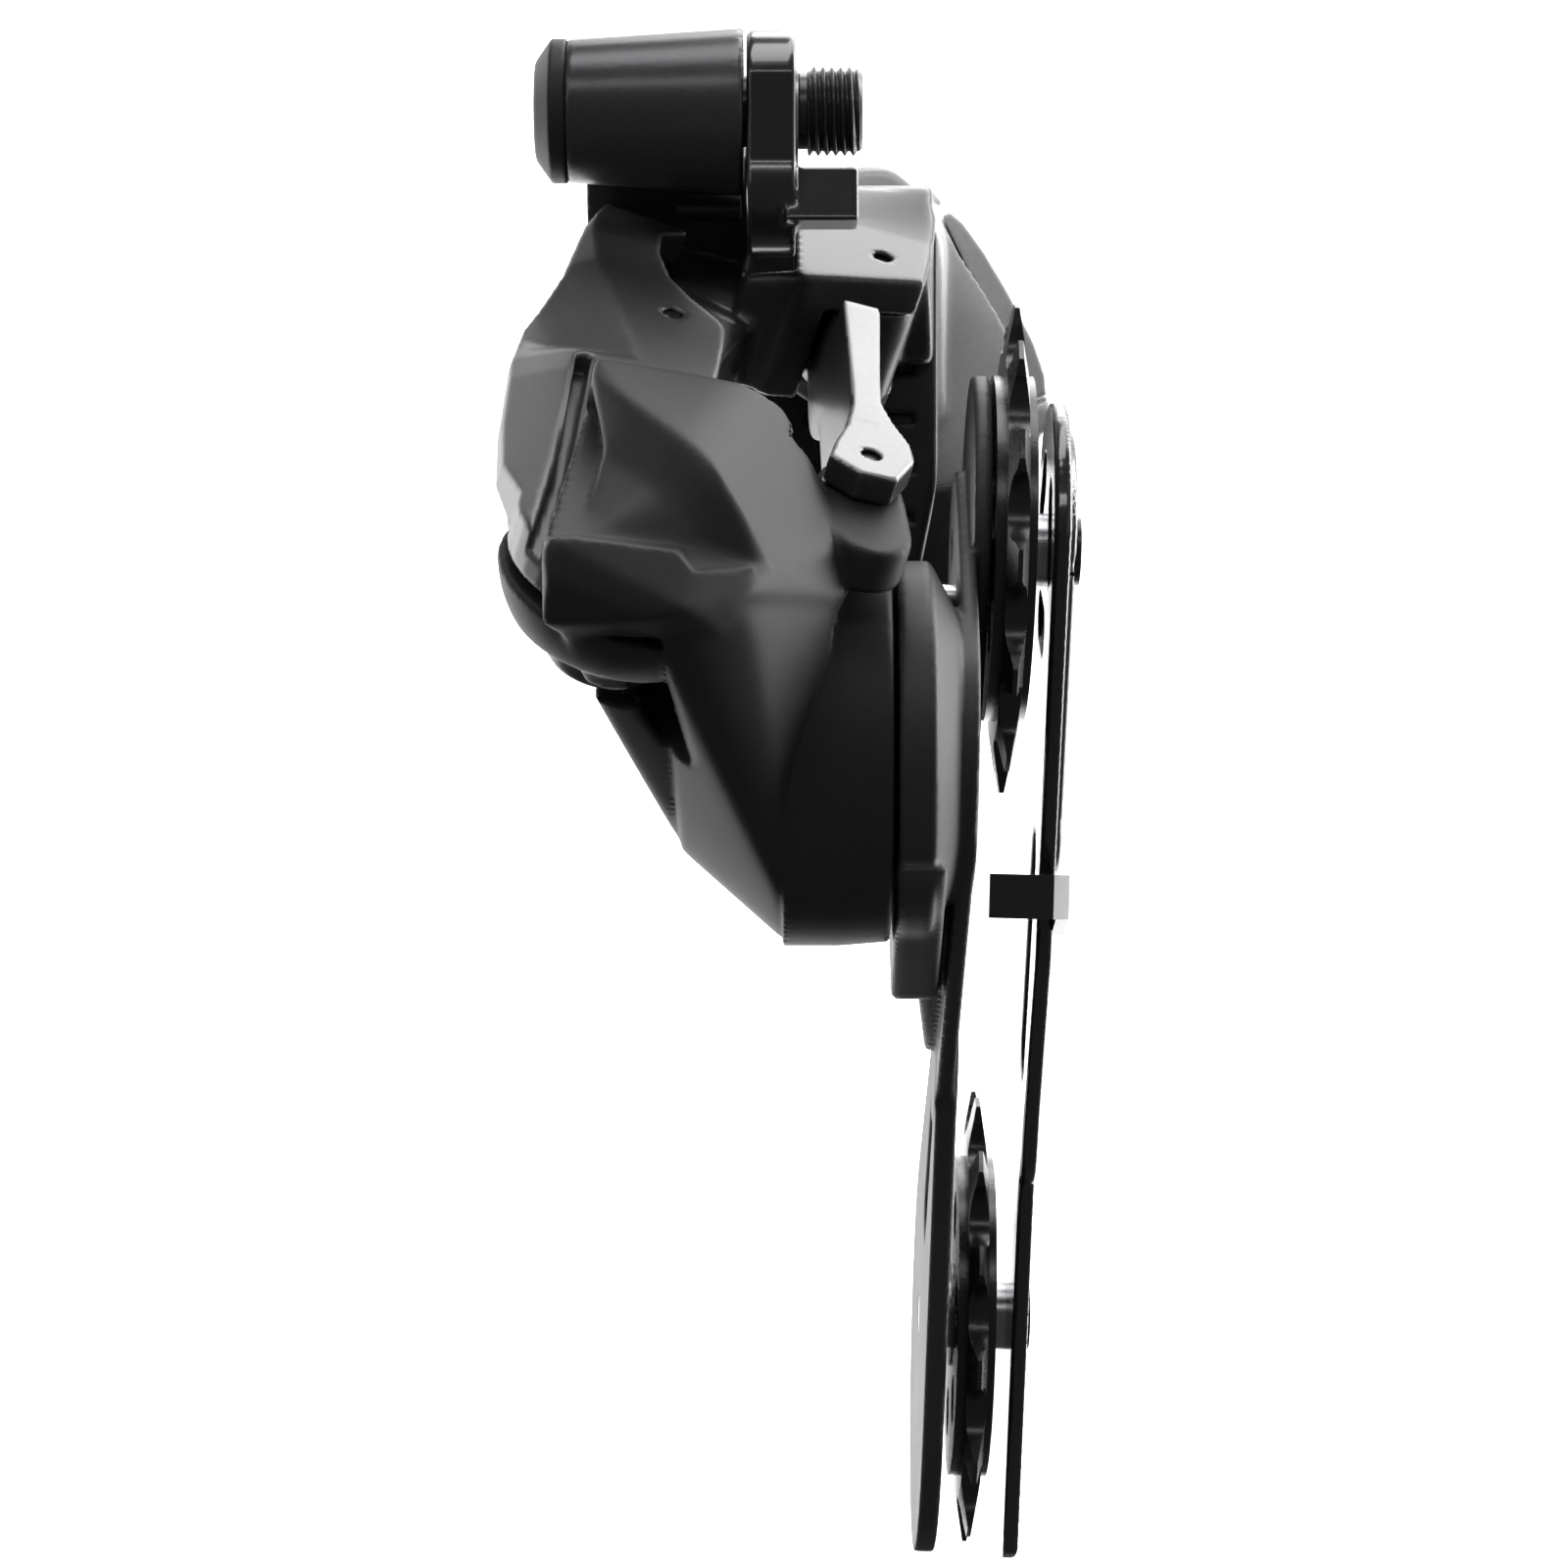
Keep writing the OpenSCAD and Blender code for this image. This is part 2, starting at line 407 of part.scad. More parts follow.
// bearing ring with its two dust caps, pressed in the pulley
module caps(c) cf() difference() {
  union() { xcyl(c[0] - 2.5, c[0] + 2.5, 6.4, c[1], c[2]); }
  xcyl(c[0] - 5, c[0] + 5, 4.25, c[1], c[2]);
}
module guide_caps() color("#77787c") caps(gp);
module tension_caps() color("#77787c") caps(tp);

b_bolt();
stop_plate();
b_washer();
b_knuckle();
b_cap();
b_bushes();
b_tension_screw();
battery_housing();
battery();
contact_block();
door_seal();
battery_door();
door_pin();
mode_button();
led_lens();
circuit_board();
outer_link();
inner_link();
link_pin_1();
link_pin_2();
link_pin_3();
link_pin_4();
bush_1();
bush_2();
bush_4();
control_housing();
p_knuckle();
motor_cover();
cover_screws();
motor_unit();
p_spring();
clutch_ring();
p_bush();
p_seal();
cage_outer_plate();
cage_inner_plate();
p_axle();
axle_clip();
stop_pin();
chain_guard();
guide_bolt();
tension_bolt();
guide_sleeve();
tension_sleeve();
guide_pulley();
tension_pulley();
guide_caps();
tension_caps();
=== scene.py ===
import bpy, bmesh, math, json
import numpy as np
from mathutils import Vector, Matrix


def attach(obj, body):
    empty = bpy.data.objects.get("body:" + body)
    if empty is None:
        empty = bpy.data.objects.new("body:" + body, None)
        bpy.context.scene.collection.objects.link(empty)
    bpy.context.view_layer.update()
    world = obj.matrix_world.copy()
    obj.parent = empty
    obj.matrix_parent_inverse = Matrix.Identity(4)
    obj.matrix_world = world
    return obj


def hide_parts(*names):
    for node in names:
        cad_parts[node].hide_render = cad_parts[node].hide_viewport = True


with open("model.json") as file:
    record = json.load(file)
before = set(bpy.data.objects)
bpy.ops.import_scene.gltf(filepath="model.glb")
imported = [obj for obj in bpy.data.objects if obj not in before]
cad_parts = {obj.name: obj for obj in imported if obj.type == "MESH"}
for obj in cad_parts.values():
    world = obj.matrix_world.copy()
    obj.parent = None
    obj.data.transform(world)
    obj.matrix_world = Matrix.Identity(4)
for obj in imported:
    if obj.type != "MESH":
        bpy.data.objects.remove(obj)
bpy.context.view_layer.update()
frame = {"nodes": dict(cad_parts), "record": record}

nodes = frame["nodes"]
D = bpy.data
scene = bpy.context.scene

# ------------------------------------------------------------------ camera
cam_d = D.cameras.new("camera")
cam_d.lens = 92.0
cam_d.sensor_width = 36.0
cam_d.clip_start = 0.01
cam_d.clip_end = 20
cam = D.objects.new("camera", cam_d)
cam.location = (-0.0016, -0.454, -0.0762)
cam.rotation_euler = (math.radians(90), 0, 0)
scene.collection.objects.link(cam)
scene.camera = cam

# ------------------------------------------------------------------ materials
def mat(name, color, rough, metal=0.0, bump=0.0, bump_scale=900.0, var=0.12, wear=0.0,
        rough_var=0.08, coat=0.0, coat_rough=0.15, spec=0.5, stretch=None, fine=0.0):
    m = D.materials.new(name)
    m.use_nodes = True
    nt = m.node_tree
    N, L = nt.nodes, nt.links
    b = N["Principled BSDF"]
    tc = N.new("ShaderNodeTexCoord")
    src = tc.outputs["Object"]
    if stretch:
        mp = N.new("ShaderNodeMapping")
        mp.inputs["Scale"].default_value = stretch
        L.new(src, mp.inputs["Vector"])
        grain_src = mp.outputs["Vector"]
    else:
        grain_src = src
    # slow tone variation over the surface
    n1 = N.new("ShaderNodeTexNoise"); n1.inputs["Scale"].default_value = 55; n1.inputs["Detail"].default_value = 6
    L.new(src, n1.inputs["Vector"])
    n2 = N.new("ShaderNodeTexNoise"); n2.inputs["Scale"].default_value = bump_scale; n2.inputs["Detail"].default_value = 4
    L.new(grain_src, n2.inputs["Vector"])
    ramp = N.new("ShaderNodeValToRGB")
    lo = [max(0, c * (1 - var)) for c in color]; hi = [min(1, c * (1 + var)) for c in color]
    ramp.color_ramp.elements[0].position = 0.3; ramp.color_ramp.elements[0].color = lo + [1]
    ramp.color_ramp.elements[1].position = 0.7; ramp.color_ramp.elements[1].color = hi + [1]
    mixf = N.new("ShaderNodeMath"); mixf.operation = "MULTIPLY_ADD"
    mixf.inputs[1].default_value = 0.6
    L.new(n1.outputs["Fac"], mixf.inputs[0])
    m3 = N.new("ShaderNodeMath"); m3.operation = "MULTIPLY"; m3.inputs[1].default_value = 0.4
    L.new(n2.outputs["Fac"], m3.inputs[0]); L.new(m3.outputs[0], mixf.inputs[2])
    L.new(mixf.outputs[0], ramp.inputs["Fac"])
    col = ramp.outputs["Color"]
    if wear > 0:
        # paler metal showing on worn edges
        geo = N.new("ShaderNodeNewGeometry")
        wr = N.new("ShaderNodeValToRGB")
        wr.color_ramp.elements[0].position = 0.53; wr.color_ramp.elements[0].color = (0, 0, 0, 1)
        wr.color_ramp.elements[1].position = 0.60; wr.color_ramp.elements[1].color = (wear, wear, wear, 1)
        L.new(geo.outputs["Pointiness"], wr.inputs["Fac"])
        n4 = N.new("ShaderNodeTexNoise"); n4.inputs["Scale"].default_value = 420; n4.inputs["Detail"].default_value = 5
        L.new(src, n4.inputs["Vector"])
        mm = N.new("ShaderNodeMath"); mm.operation = "MULTIPLY"
        L.new(wr.outputs["Color"], mm.inputs[0]); L.new(n4.outputs["Fac"], mm.inputs[1])
        mx = N.new("ShaderNodeMix"); mx.data_type = "RGBA"
        L.new(mm.outputs[0], mx.inputs["Factor"])
        L.new(col, mx.inputs["A"]); mx.inputs["B"].default_value = (0.33, 0.33, 0.34, 1)
        col = mx.outputs["Result"]
    L.new(col, b.inputs["Base Color"])
    rr = N.new("ShaderNodeMapRange")
    rr.inputs["To Min"].default_value = max(0.02, rough - rough_var); rr.inputs["To Max"].default_value = min(1, rough + rough_var)
    L.new(mixf.outputs[0], rr.inputs["Value"]); L.new(rr.outputs["Result"], b.inputs["Roughness"])
    b.inputs["Metallic"].default_value = metal
    b.inputs["Specular IOR Level"].default_value = spec
    b.inputs["Coat Weight"].default_value = coat
    b.inputs["Coat Roughness"].default_value = coat_rough
    if bump > 0:
        bp = N.new("ShaderNodeBump"); bp.inputs["Strength"].default_value = 1.0
        bp.inputs["Distance"].default_value = bump
        L.new(n2.outputs["Fac"], bp.inputs["Height"])
        L.new(bp.outputs["Normal"], b.inputs["Normal"])
    return m

M = {}
M["bolt_black"] = mat("bolt_black_oxide", (0.03, 0.03, 0.033), 0.28, 0.4, 0.000012, 1500)
M["plate_black"] = mat("plate_gloss_black", (0.016, 0.016, 0.018), 0.2, 0.0, 0.000006, 700, coat=0.4, coat_rough=0.08)
M["steel"] = mat("ground_steel", (0.5, 0.5, 0.52), 0.3, 1.0, 0.00001, 1200)
M["upper_alloy"] = mat("upper_anodised", (0.05, 0.05, 0.054), 0.3, 0.35, 0.000012, 1600, wear=0.1)
M["housing_grey"] = mat("housing_moulded", (0.62, 0.62, 0.63), 0.32, 0.0, 0.000012, 1300, coat=0.2)
M["battery_black"] = mat("moulded_black", (0.02, 0.02, 0.022), 0.45, 0.0, 0.00003, 1500)
M["contacts"] = mat("plated_contacts", (0.75, 0.55, 0.28), 0.25, 1.0)
M["seal_rubber"] = mat("seal_rubber", (0.018, 0.018, 0.018), 0.7, 0.0, 0.00004, 1200)
M["lens"] = mat("lens_clear", (0.6, 0.75, 0.65), 0.08, 0.0)
M["board"] = mat("board_green", (0.02, 0.12, 0.05), 0.4, 0.0)
M["link_grey"] = mat("link_satin_grey", (0.075, 0.072, 0.074), 0.4, 0.4, 0.000010, 1500)
# pale grey that the inner link's faces toward the pin axis carry as a painted highlight
M["link_light"] = mat("link_grey_painted_highlight", (0.26, 0.26, 0.265), 0.4, 0.3, 0.000012, 1500, wear=0.2)
M["bushes"] = mat("plain_bearing", (0.5, 0.37, 0.18), 0.4, 1.0)
M["lower_black"] = mat("lower_charcoal", (0.030, 0.0285, 0.028), 0.5, 0.0, 0.000012, 1400, spec=0.16)
M["cage_satin"] = mat("cage_satin_black", (0.03, 0.03, 0.032), 0.5, 0.0, 0.000012, 1200, wear=0.15, spec=0.35)
M["pulley_plastic"] = mat("pulley_filled_plastic", (0.012, 0.012, 0.013), 0.26, 0.0, 0.00002, 1300)
M["caps_steel"] = mat("caps_pressed_steel", (0.3, 0.3, 0.31), 0.3, 1.0, 0.00001, 900)
slot_of = {s["node"]: s["material_slot"] for s in frame["record"]["subparts"]}
def setmat(o, m):
    o.data.materials.clear() if not o.data.materials else None
    if o.data.materials:
        for i in range(len(o.data.materials)):
            o.data.materials[i] = m
    else:
        o.data.materials.append(m)
for n, o in nodes.items():
    setmat(o, M[slot_of[n]])

# ------------------------------------------------------------------ smooth solids
# Every moulded or forged piece is written as a distance field in millimetres
# and turned into one closed quad mesh with crisp, slightly rounded edges.
def rot_x(a):
    c, s = math.cos(math.radians(a)), math.sin(math.radians(a)); return np.array([[1, 0, 0], [0, c, -s], [0, s, c]])
def rot_y(a):
    c, s = math.cos(math.radians(a)), math.sin(math.radians(a)); return np.array([[c, 0, s], [0, 1, 0], [-s, 0, c]])
LR = rot_x(33.5) @ rot_y(16)
L0 = np.array([9.9, 12, -15.0])
CR = rot_y(1.5)
C0 = np.array([0, -15, -72.4])
BR = rot_y(64.1)
B0 = np.array([21.2, 57, -6.3])
WORLD = (np.eye(3), np.zeros(3))
LINK = (LR, L0); CAGE = (CR, C0); BATT = (BR, B0)
def to_frame(P, fr): return (P - fr[1].astype(np.float32)) @ fr[0].astype(np.float32)
def from_frame(p, fr): return np.asarray(p, float) @ fr[0].T + fr[1]
P1 = (-23.9, -21.1); P2 = (0.0, 0.0); P3 = (-2.3, -48.345); P4 = (-26.2, -69.445)

def smax(a, b, k=0.0):
    if k <= 0: return np.maximum(a, b)
    h = np.maximum(k - np.abs(a - b), 0) / k
    return np.maximum(a, b) + h * h * k * 0.25
def smin(a, b, k=0.0): return -smax(-a, -b, k)
def cut(a, b, k=0.0): return smax(a, -b, k)

def hull(pts, k=0.3):
    bm = bmesh.new()
    for p in pts: bm.verts.new(tuple(float(c) for c in p))
    bmesh.ops.remove_doubles(bm, verts=bm.verts, dist=0.01)
    bmesh.ops.convex_hull(bm, input=bm.verts)
    ns, ds = [], []
    cen = np.mean(np.array([list(v.co) for v in bm.verts]), axis=0)
    for f in bm.faces:
        f.normal_update()
        if f.calc_area() < 1e-3: continue
        n = np.array(f.normal); p = np.array(f.verts[0].co)
        if n @ (cen - p) > 0: n = -n
        d = n @ p
        for i, m in enumerate(ns):
            if m @ n > 0.9995 and abs(ds[i] - d) < 0.12: break
        else:
            ns.append(n); ds.append(d)
    bm.free()
    N = np.array(ns, np.float32).T; Dd = np.array(ds, np.float32)
    def f(P):
        out = np.empty(len(P), np.float32)
        for s in range(0, len(P), 200000):
            v = P[s:s + 200000] @ N - Dd
            m = v.max(axis=1)
            if k > 0:
                v = np.exp((v - m[:, None]) / k).sum(axis=1)
                m = m + k * (np.log(v) - 0.35)
            out[s:s + 200000] = m
        return out
    return f
def ring_pts(x, r, y, z, n=40):
    return [(x, y + r * math.cos(2 * math.pi * i / n), z + r * math.sin(2 * math.pi * i / n)) for i in range(n)]
def wring(c, w, r, n=28):
    return [(c[0] + r * math.cos(2 * math.pi * i / n), c[1] + r * math.sin(2 * math.pi * i / n), w) for i in range(n)]
def box(P, lo, hi, k=0.0):
    f = None
    for i in range(3):
        a = smax(lo[i] - P[:, i], P[:, i] - hi[i], 0)
        f = a if f is None else smax(f, a, k)
    return f
def xcyl(P, x0, x1, r, y=0.0, z=0.0, r2=None, k=0.0):
    r2 = r if r2 is None else r2
    t = (P[:, 0] - x0) / (x1 - x0)
    rad = np.sqrt((P[:, 1] - y) ** 2 + (P[:, 2] - z) ** 2) - (r + (r2 - r) * np.clip(t, -0.5, 1.5))
    return smax(rad, np.maximum(x0 - P[:, 0], P[:, 0] - x1), k)
def wcyl(P, c, w0, w1, r, k=0.0):
    rad = np.sqrt((P[:, 0] - c[0]) ** 2 + (P[:, 1] - c[1]) ** 2) - r
    return smax(rad, np.maximum(w0 - P[:, 2], P[:, 2] - w1), k)
def seg_dist(x, y, a, b):
    dx, dy = b[0] - a[0], b[1] - a[1]
    t = np.clip(((x - a[0]) * dx + (y - a[1]) * dy) / (dx * dx + dy * dy + 1e-12), 0, 1)
    return np.sqrt((x - a[0] - t * dx) ** 2 + (y - a[1] - t * dy) ** 2)
def line_dist(x, y, pts):
    d = seg_dist(x, y, pts[0], pts[1])
    for a, b in zip(pts[1:-1], pts[2:]): d = np.minimum(d, seg_dist(x, y, a, b))
    return d
def poly(x, y, pts):
    d = line_dist(x, y, list(pts) + [pts[0]])
    inside = np.zeros(len(x), bool)
    n = len(pts)
    for i in range(n):
        x0, y0 = pts[i]; x1, y1 = pts[(i + 1) % n]
        if y0 == y1: continue
        c = ((y0 <= y) & (y < y1)) | ((y1 <= y) & (y < y0))
        xi = x0 + (y - y0) / (y1 - y0) * (x1 - x0)
        inside ^= c & (x < xi)
    return np.where(inside, -d, d)
def slab(P, pts, w0, w1, k=0.0):
    return smax(poly(P[:, 0], P[:, 1], pts), np.maximum(w0 - P[:, 2], P[:, 2] - w1), k)
def arc(c, r, a0, a1, n):
    return [(c[0] + r * math.cos(math.radians(a0 + (a1 - a0) * i / n)), c[1] + r * math.sin(math.radians(a0 + (a1 - a0) * i / n))) for i in range(n + 1)]
def cap2(y, z, a, ra, b, rb):
    # round-ended taper between two circles
    dx, dy = b[0] - a[0], b[1] - a[1]
    t = np.clip(((y - a[0]) * dx + (z - a[1]) * dy) / (dx * dx + dy * dy), 0, 1)
    L = math.hypot(dx, dy); s = (ra - rb) / L
    # shift along the taper so that both flanks stay tangent
    px = y - a[0]; pz = z - a[1]
    along = (px * dx + pz * dy) / L; perp = np.abs(px * dy - pz * dx) / L
    along2 = np.clip(along + perp * s / math.sqrt(max(1e-6, 1 - s * s)), 0, L)
    return np.sqrt((along - along2) ** 2 + perp ** 2) - (ra + (rb - ra) * along2 / L)
def ss(t):
    t = np.clip(t, 0, 1); return t * t * (3 - 2 * t)

def mesh_of(name, f, lo, hi, h, fr=WORLD, newton=2, relax=0):
    ax = [np.arange(lo[i], hi[i] + h, h, dtype=np.float32) for i in range(3)]
    n = [len(a) for a in ax]
    G = np.stack(np.meshgrid(*ax, indexing="ij"), axis=-1).reshape(-1, 3)
    V = f(G).reshape(n).astype(np.float32)
    V[0], V[-1] = np.maximum(V[0], 1e-3), np.maximum(V[-1], 1e-3)
    V[:, 0], V[:, -1] = np.maximum(V[:, 0], 1e-3), np.maximum(V[:, -1], 1e-3)
    V[:, :, 0], V[:, :, -1] = np.maximum(V[:, :, 0], 1e-3), np.maximum(V[:, :, -1], 1e-3)
    S = V < 0
    cnt = np.zeros([m - 1 for m in n], np.int8)
    for a in (0, 1):
        for b in (0, 1):
            for c in (0, 1):
                cnt += S[a:n[0] - 1 + a, b:n[1] - 1 + b, c:n[2] - 1 + c]
    mixed = (cnt > 0) & (cnt < 8)
    idx = np.full(mixed.shape, -1, np.int64); idx[mixed] = np.arange(mixed.sum())
    C = np.argwhere(mixed)
    acc = np.zeros((len(C), 3), np.float64); num = np.zeros(len(C))
    cor = [(a, b, c) for a in (0, 1) for b in (0, 1) for c in (0, 1)]
    for p in cor:
        for ax_i in range(3):
            if p[ax_i]: continue
            q = list(p); q[ax_i] = 1
            va = V[C[:, 0] + p[0], C[:, 1] + p[1], C[:, 2] + p[2]]; vb = V[C[:, 0] + q[0], C[:, 1] + q[1], C[:, 2] + q[2]]
            cr = (va < 0) != (vb < 0)
            t = np.where(cr, va / np.where(cr, va - vb, 1), 0)
            for i in range(3):
                acc[:, i] += np.where(cr, p[i] + (t if i == ax_i else 0), 0)
            num += cr
    verts = np.array(lo, float) + h * (C + acc / num[:, None])
    for _ in range(newton):
        e = 0.05; v32 = verts.astype(np.float32)
        g = np.zeros_like(verts)
        for i in range(3):
            dv = np.zeros(3, np.float32); dv[i] = e
            g[:, i] = (f(v32 + dv) - f(v32 - dv)) / (2 * e)
        val = f(v32)
        st = -(val / np.maximum((g * g).sum(axis=1), 0.2))[:, None] * g
        ln = np.linalg.norm(st, axis=1, keepdims=True)
        verts = verts + st * np.minimum(1, 0.5 * h / np.maximum(ln, 1e-9))
    quads = []
    s = S[:-1, 1:-1, 1:-1] != S[1:, 1:-1, 1:-1]
    q = np.argwhere(s); i, j, k = q[:, 0], q[:, 1] + 1, q[:, 2] + 1
    quads.append((np.stack([idx[i, j - 1, k - 1], idx[i, j, k - 1], idx[i, j, k], idx[i, j - 1, k]], 1), S[i, j, k]))
    s = S[1:-1, :-1, 1:-1] != S[1:-1, 1:, 1:-1]
    q = np.argwhere(s); i, j, k = q[:, 0] + 1, q[:, 1], q[:, 2] + 1
    quads.append((np.stack([idx[i - 1, j, k - 1], idx[i - 1, j, k], idx[i, j, k], idx[i, j, k - 1]], 1), S[i, j, k]))
    s = S[1:-1, 1:-1, :-1] != S[1:-1, 1:-1, 1:]
    q = np.argwhere(s); i, j, k = q[:, 0] + 1, q[:, 1] + 1, q[:, 2]
    quads.append((np.stack([idx[i - 1, j - 1, k], idx[i, j - 1, k], idx[i, j, k], idx[i - 1, j, k]], 1), S[i, j, k]))
    faces = np.concatenate([np.where(fl[:, None], a, a[:, ::-1]) for a, fl in quads])
    verts = from_frame(verts, fr) / 1000.0
    me = D.meshes.new(name)
    me.vertices.add(len(verts)); me.vertices.foreach_set("co", verts.astype(np.float32).ravel())
    me.loops.add(faces.size); me.loops.foreach_set("vertex_index", faces.astype(np.int32).ravel())
    me.polygons.add(len(faces)); me.polygons.foreach_set("loop_start", np.arange(0, faces.size, 4, dtype=np.int32))
    me.polygons.foreach_set("loop_total", np.full(len(faces), 4, np.int32))
    me.update(calc_edges=True); me.validate()
    me.polygons.foreach_set("use_smooth", np.ones(len(me.polygons), bool))
    # leave only the large islands of the surface
    bm = bmesh.new(); bm.from_mesh(me)
    seen = set(); drop = []
    for v in bm.verts:
        if v.index in seen: continue
        st = [v]; seen.add(v.index); isl = [v]
        while st:
            w_ = st.pop()
            for ed in w_.link_edges:
                o_ = ed.other_vert(w_)
                if o_.index not in seen: seen.add(o_.index); st.append(o_); isl.append(o_)
        if len(isl) < 60: drop += isl
    if drop: bmesh.ops.delete(bm, geom=drop, context="VERTS")
    bm.to_mesh(me); bm.free()
    for p_ in me.polygons: p_.use_smooth = True
    o = D.objects.new(name, me); scene.collection.objects.link(o)
    return o
def piece(name, f, lo, hi, h, body, slot, replaces, fr=WORLD, material=None):
    o = mesh_of(name, f, lo, hi, h, fr)
    setmat(o, M[material or slot])
    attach(o, body)
    if replaces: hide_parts(*replaces)
    return o

# ------------------------------------------------------------------ lower knuckle
FRONT = [(-21.1, -36, -31.5), (-16.2, -40, -34.7), (-8.1, -34, -33.8), (-5.4, -32, -34.1), (-1.5, -29.5, -36.4),
    (2, -33, -44.3), (5.6, -35, -51.9), (6.8, -32, -52.9), (-18.2, -43, -36), (-11.5, -50, -41.1), (-8.2, -52, -44.7),
    (-5.3, -52, -49.7), (-2.4, -50, -54.4), (-1.8, -47, -56.6), (-1.8, -42, -60.1), (4.6, -36.2, -56.8),
    (-24.3, -62, -52.3), (-25.5, -61, -53.4), (-24.6, -62, -56.1), (-15.1, -60, -60), (-25.5, -58, -60.5), (-14.6, -56, -62),
    (-7.9, -56.8, -58), (-11.3, -59.8, -59.2), (-4.5, -54, -57), (-8, -54.5, -61.5),
    (-22.1, -34, -36), (-10, -28, -38), (-2, -26, -42), (5, -28, -54), (2, -34, -62), (-25, -52, -58), (-20, -50, -63), (-13, -42, -64)]
h_front = hull(FRONT, 0.16)
h_low = hull([(-14.6, -56, -62), (-7.9, -56.8, -58), (-8, -54.5, -61.6), (-10.9, -55.5, -62.5), (-4.5, -52, -60.5), (-2.4, -50, -54.4), (-1.8, -47, -56.6), (-1.8, -42, -60.1), (-13.1, -40, -63.2), (4.6, -36.2, -56.8), (-4, -30, -52)]
    + ring_pts(-1.4, 21.5, -15, -72.4, 64) + ring_pts(-13.4, 11, -15, -72.4) + ring_pts(-10.2, 12.3, -15, -72.4), 0.25)
h_web = hull([(-25.5, -58, -60.5), (-14.6, -56, -62), (-23.9, -55, -61.6), (-22.1, -52, -62.6), (-21.7, -46, -65.2), (-20.9, -42, -67.2),
    (-16.9, -36, -71.4), (-14.6, -31, -74.6), (-18, -34, -62)] + ring_pts(-13.4, 10.5, -15, -72.4) + ring_pts(-11, 10.5, -15, -72.4), 0.4)
RIDGE = [(-21.5, -33.6), (-18.2, -36.0), (-11.5, -41.1), (-8.2, -44.7), (-5.3, -49.7), (-2.9, -54.2)]
GROOVE = [(-2.9, -54.6), (-10.5, -55.3), (-12.2, -53.2), (-22.2, -52.1), (-31, -52.4)]
h_lug = hull(wring(P3, -8.8, 4.9) + wring(P3, -3.8, 4.9) + wring((-1.5, -58), -8.8, 4.9) + wring((-1.5, -58), -3.8, 4.9), 0.3)
def knuckle(P):
    L = to_frame(P, LINK)
    x, y, z = P[:, 0], P[:, 1], P[:, 2]
    front = h_front(P)
    # recess in the front shell: a soft wall under the ridge, a crisp step above the shelf
    area_ = poly(x, z, RIDGE + GROOVE + [(-31, -33.6)])
    dr = line_dist(x, z, RIDGE); db = line_dist(x, z, GROOVE)
    dep = np.where((area_ < 0) & (y < -36), 3.2 * ss(dr / 7.0) ** 0.8 * ss(db / 0.8), 0)
    # the recess stays above the link that swings under the shell
    front = np.where(dep > 0, smin(front + dep, smax(front, L[:, 2] + 1.3, 0.3), 0.6), front)
    low = smin(h_low(P), h_web(P), 0.5)
    # hollow on the underside of the web
    q = poly(x + 0.28 * (z + 68), z, [(-16.6, -65.6), (-15.2, -64.3), (-13.2, -64.6), (-12.9, -68), (-12.9, -73.6), (-14.6, -72.2), (-16.2, -69)])
    low = cut(low, smax(q, np.maximum(y + 36.0 - 0.4 * (z + 68), -70 - y), 0.8), 1.2)
    low = np.maximum(low, L[:, 2] + 3)
    body = smin(front, low, 0.5)
    keep = np.minimum(wcyl(L, P4, -9.6, -2.9, 13.0), wcyl(L, P4, -20.6, -16, 8))
    keep = np.minimum(keep, box(L, (-100, P4[1], -20.7), (-17, 100, -2.9)))
    keep = np.minimum(keep, box(L, (-60, -50.5, -12.4), (20, 49.5, 0.4)))
    keep = np.minimum(keep, wcyl(L, P3, -12.4, 0.4, 6))
    body = cut(body, keep, 0.25)
    body = smin(body, xcyl(P, -1.7, 4.7, 21.5, -15, -72.4, k=0.3), 0.3)
    body = smin(body, xcyl(P, 4.5, 9.9, 21.5, -15, -72.4, r2=21.05, k=0.4), 0.05)
    body = cut(body, xcyl(P, -7.2, 20, 13.5, -15, -72.4))
    sph = np.sqrt((L[:, 0] - P4[0]) ** 2 + (L[:, 1] - P4[1]) ** 2 + (L[:, 2] + 7) ** 2) - 13.5
    boss = smax(sph, box(L, (-60, -100, -15.9), (0, -40, -9.8)), 0.6)
    body = smin(body, boss, 0.3)
    body = smin(body, h_lug(L), 0.5)
    # bores for the pins, the screws, the cage axle and the stop pin
    body = cut(body, wcyl(L, P4, -30, -9.5, 3.05))
    body = cut(body, wcyl(L, P3, -9.2, -3, 2.3))
    body = cut(body, xcyl(P, -9.9, 0, 5.62, -15, -72.4))
    body = cut(body, xcyl(P, -11.9, -9.8, 7, -15, -72.4))
    body = cut(body, xcyl(P, -13.1, -3.5, 3.45, -33, -67))
    body = cut(body, wcyl(L, (-11.6, -54.5), -9.02, -2.7, 1.02))
    body = cut(body, wcyl(L, (-11.2, -65), -9.02, -2.7, 1.02))
    return body
piece("knuckle_shell", knuckle, (-40, -66, -96), (12, 9, -29), 0.55, "lower_knuckle", "lower_black", ["p_knuckle", "motor_cover"])

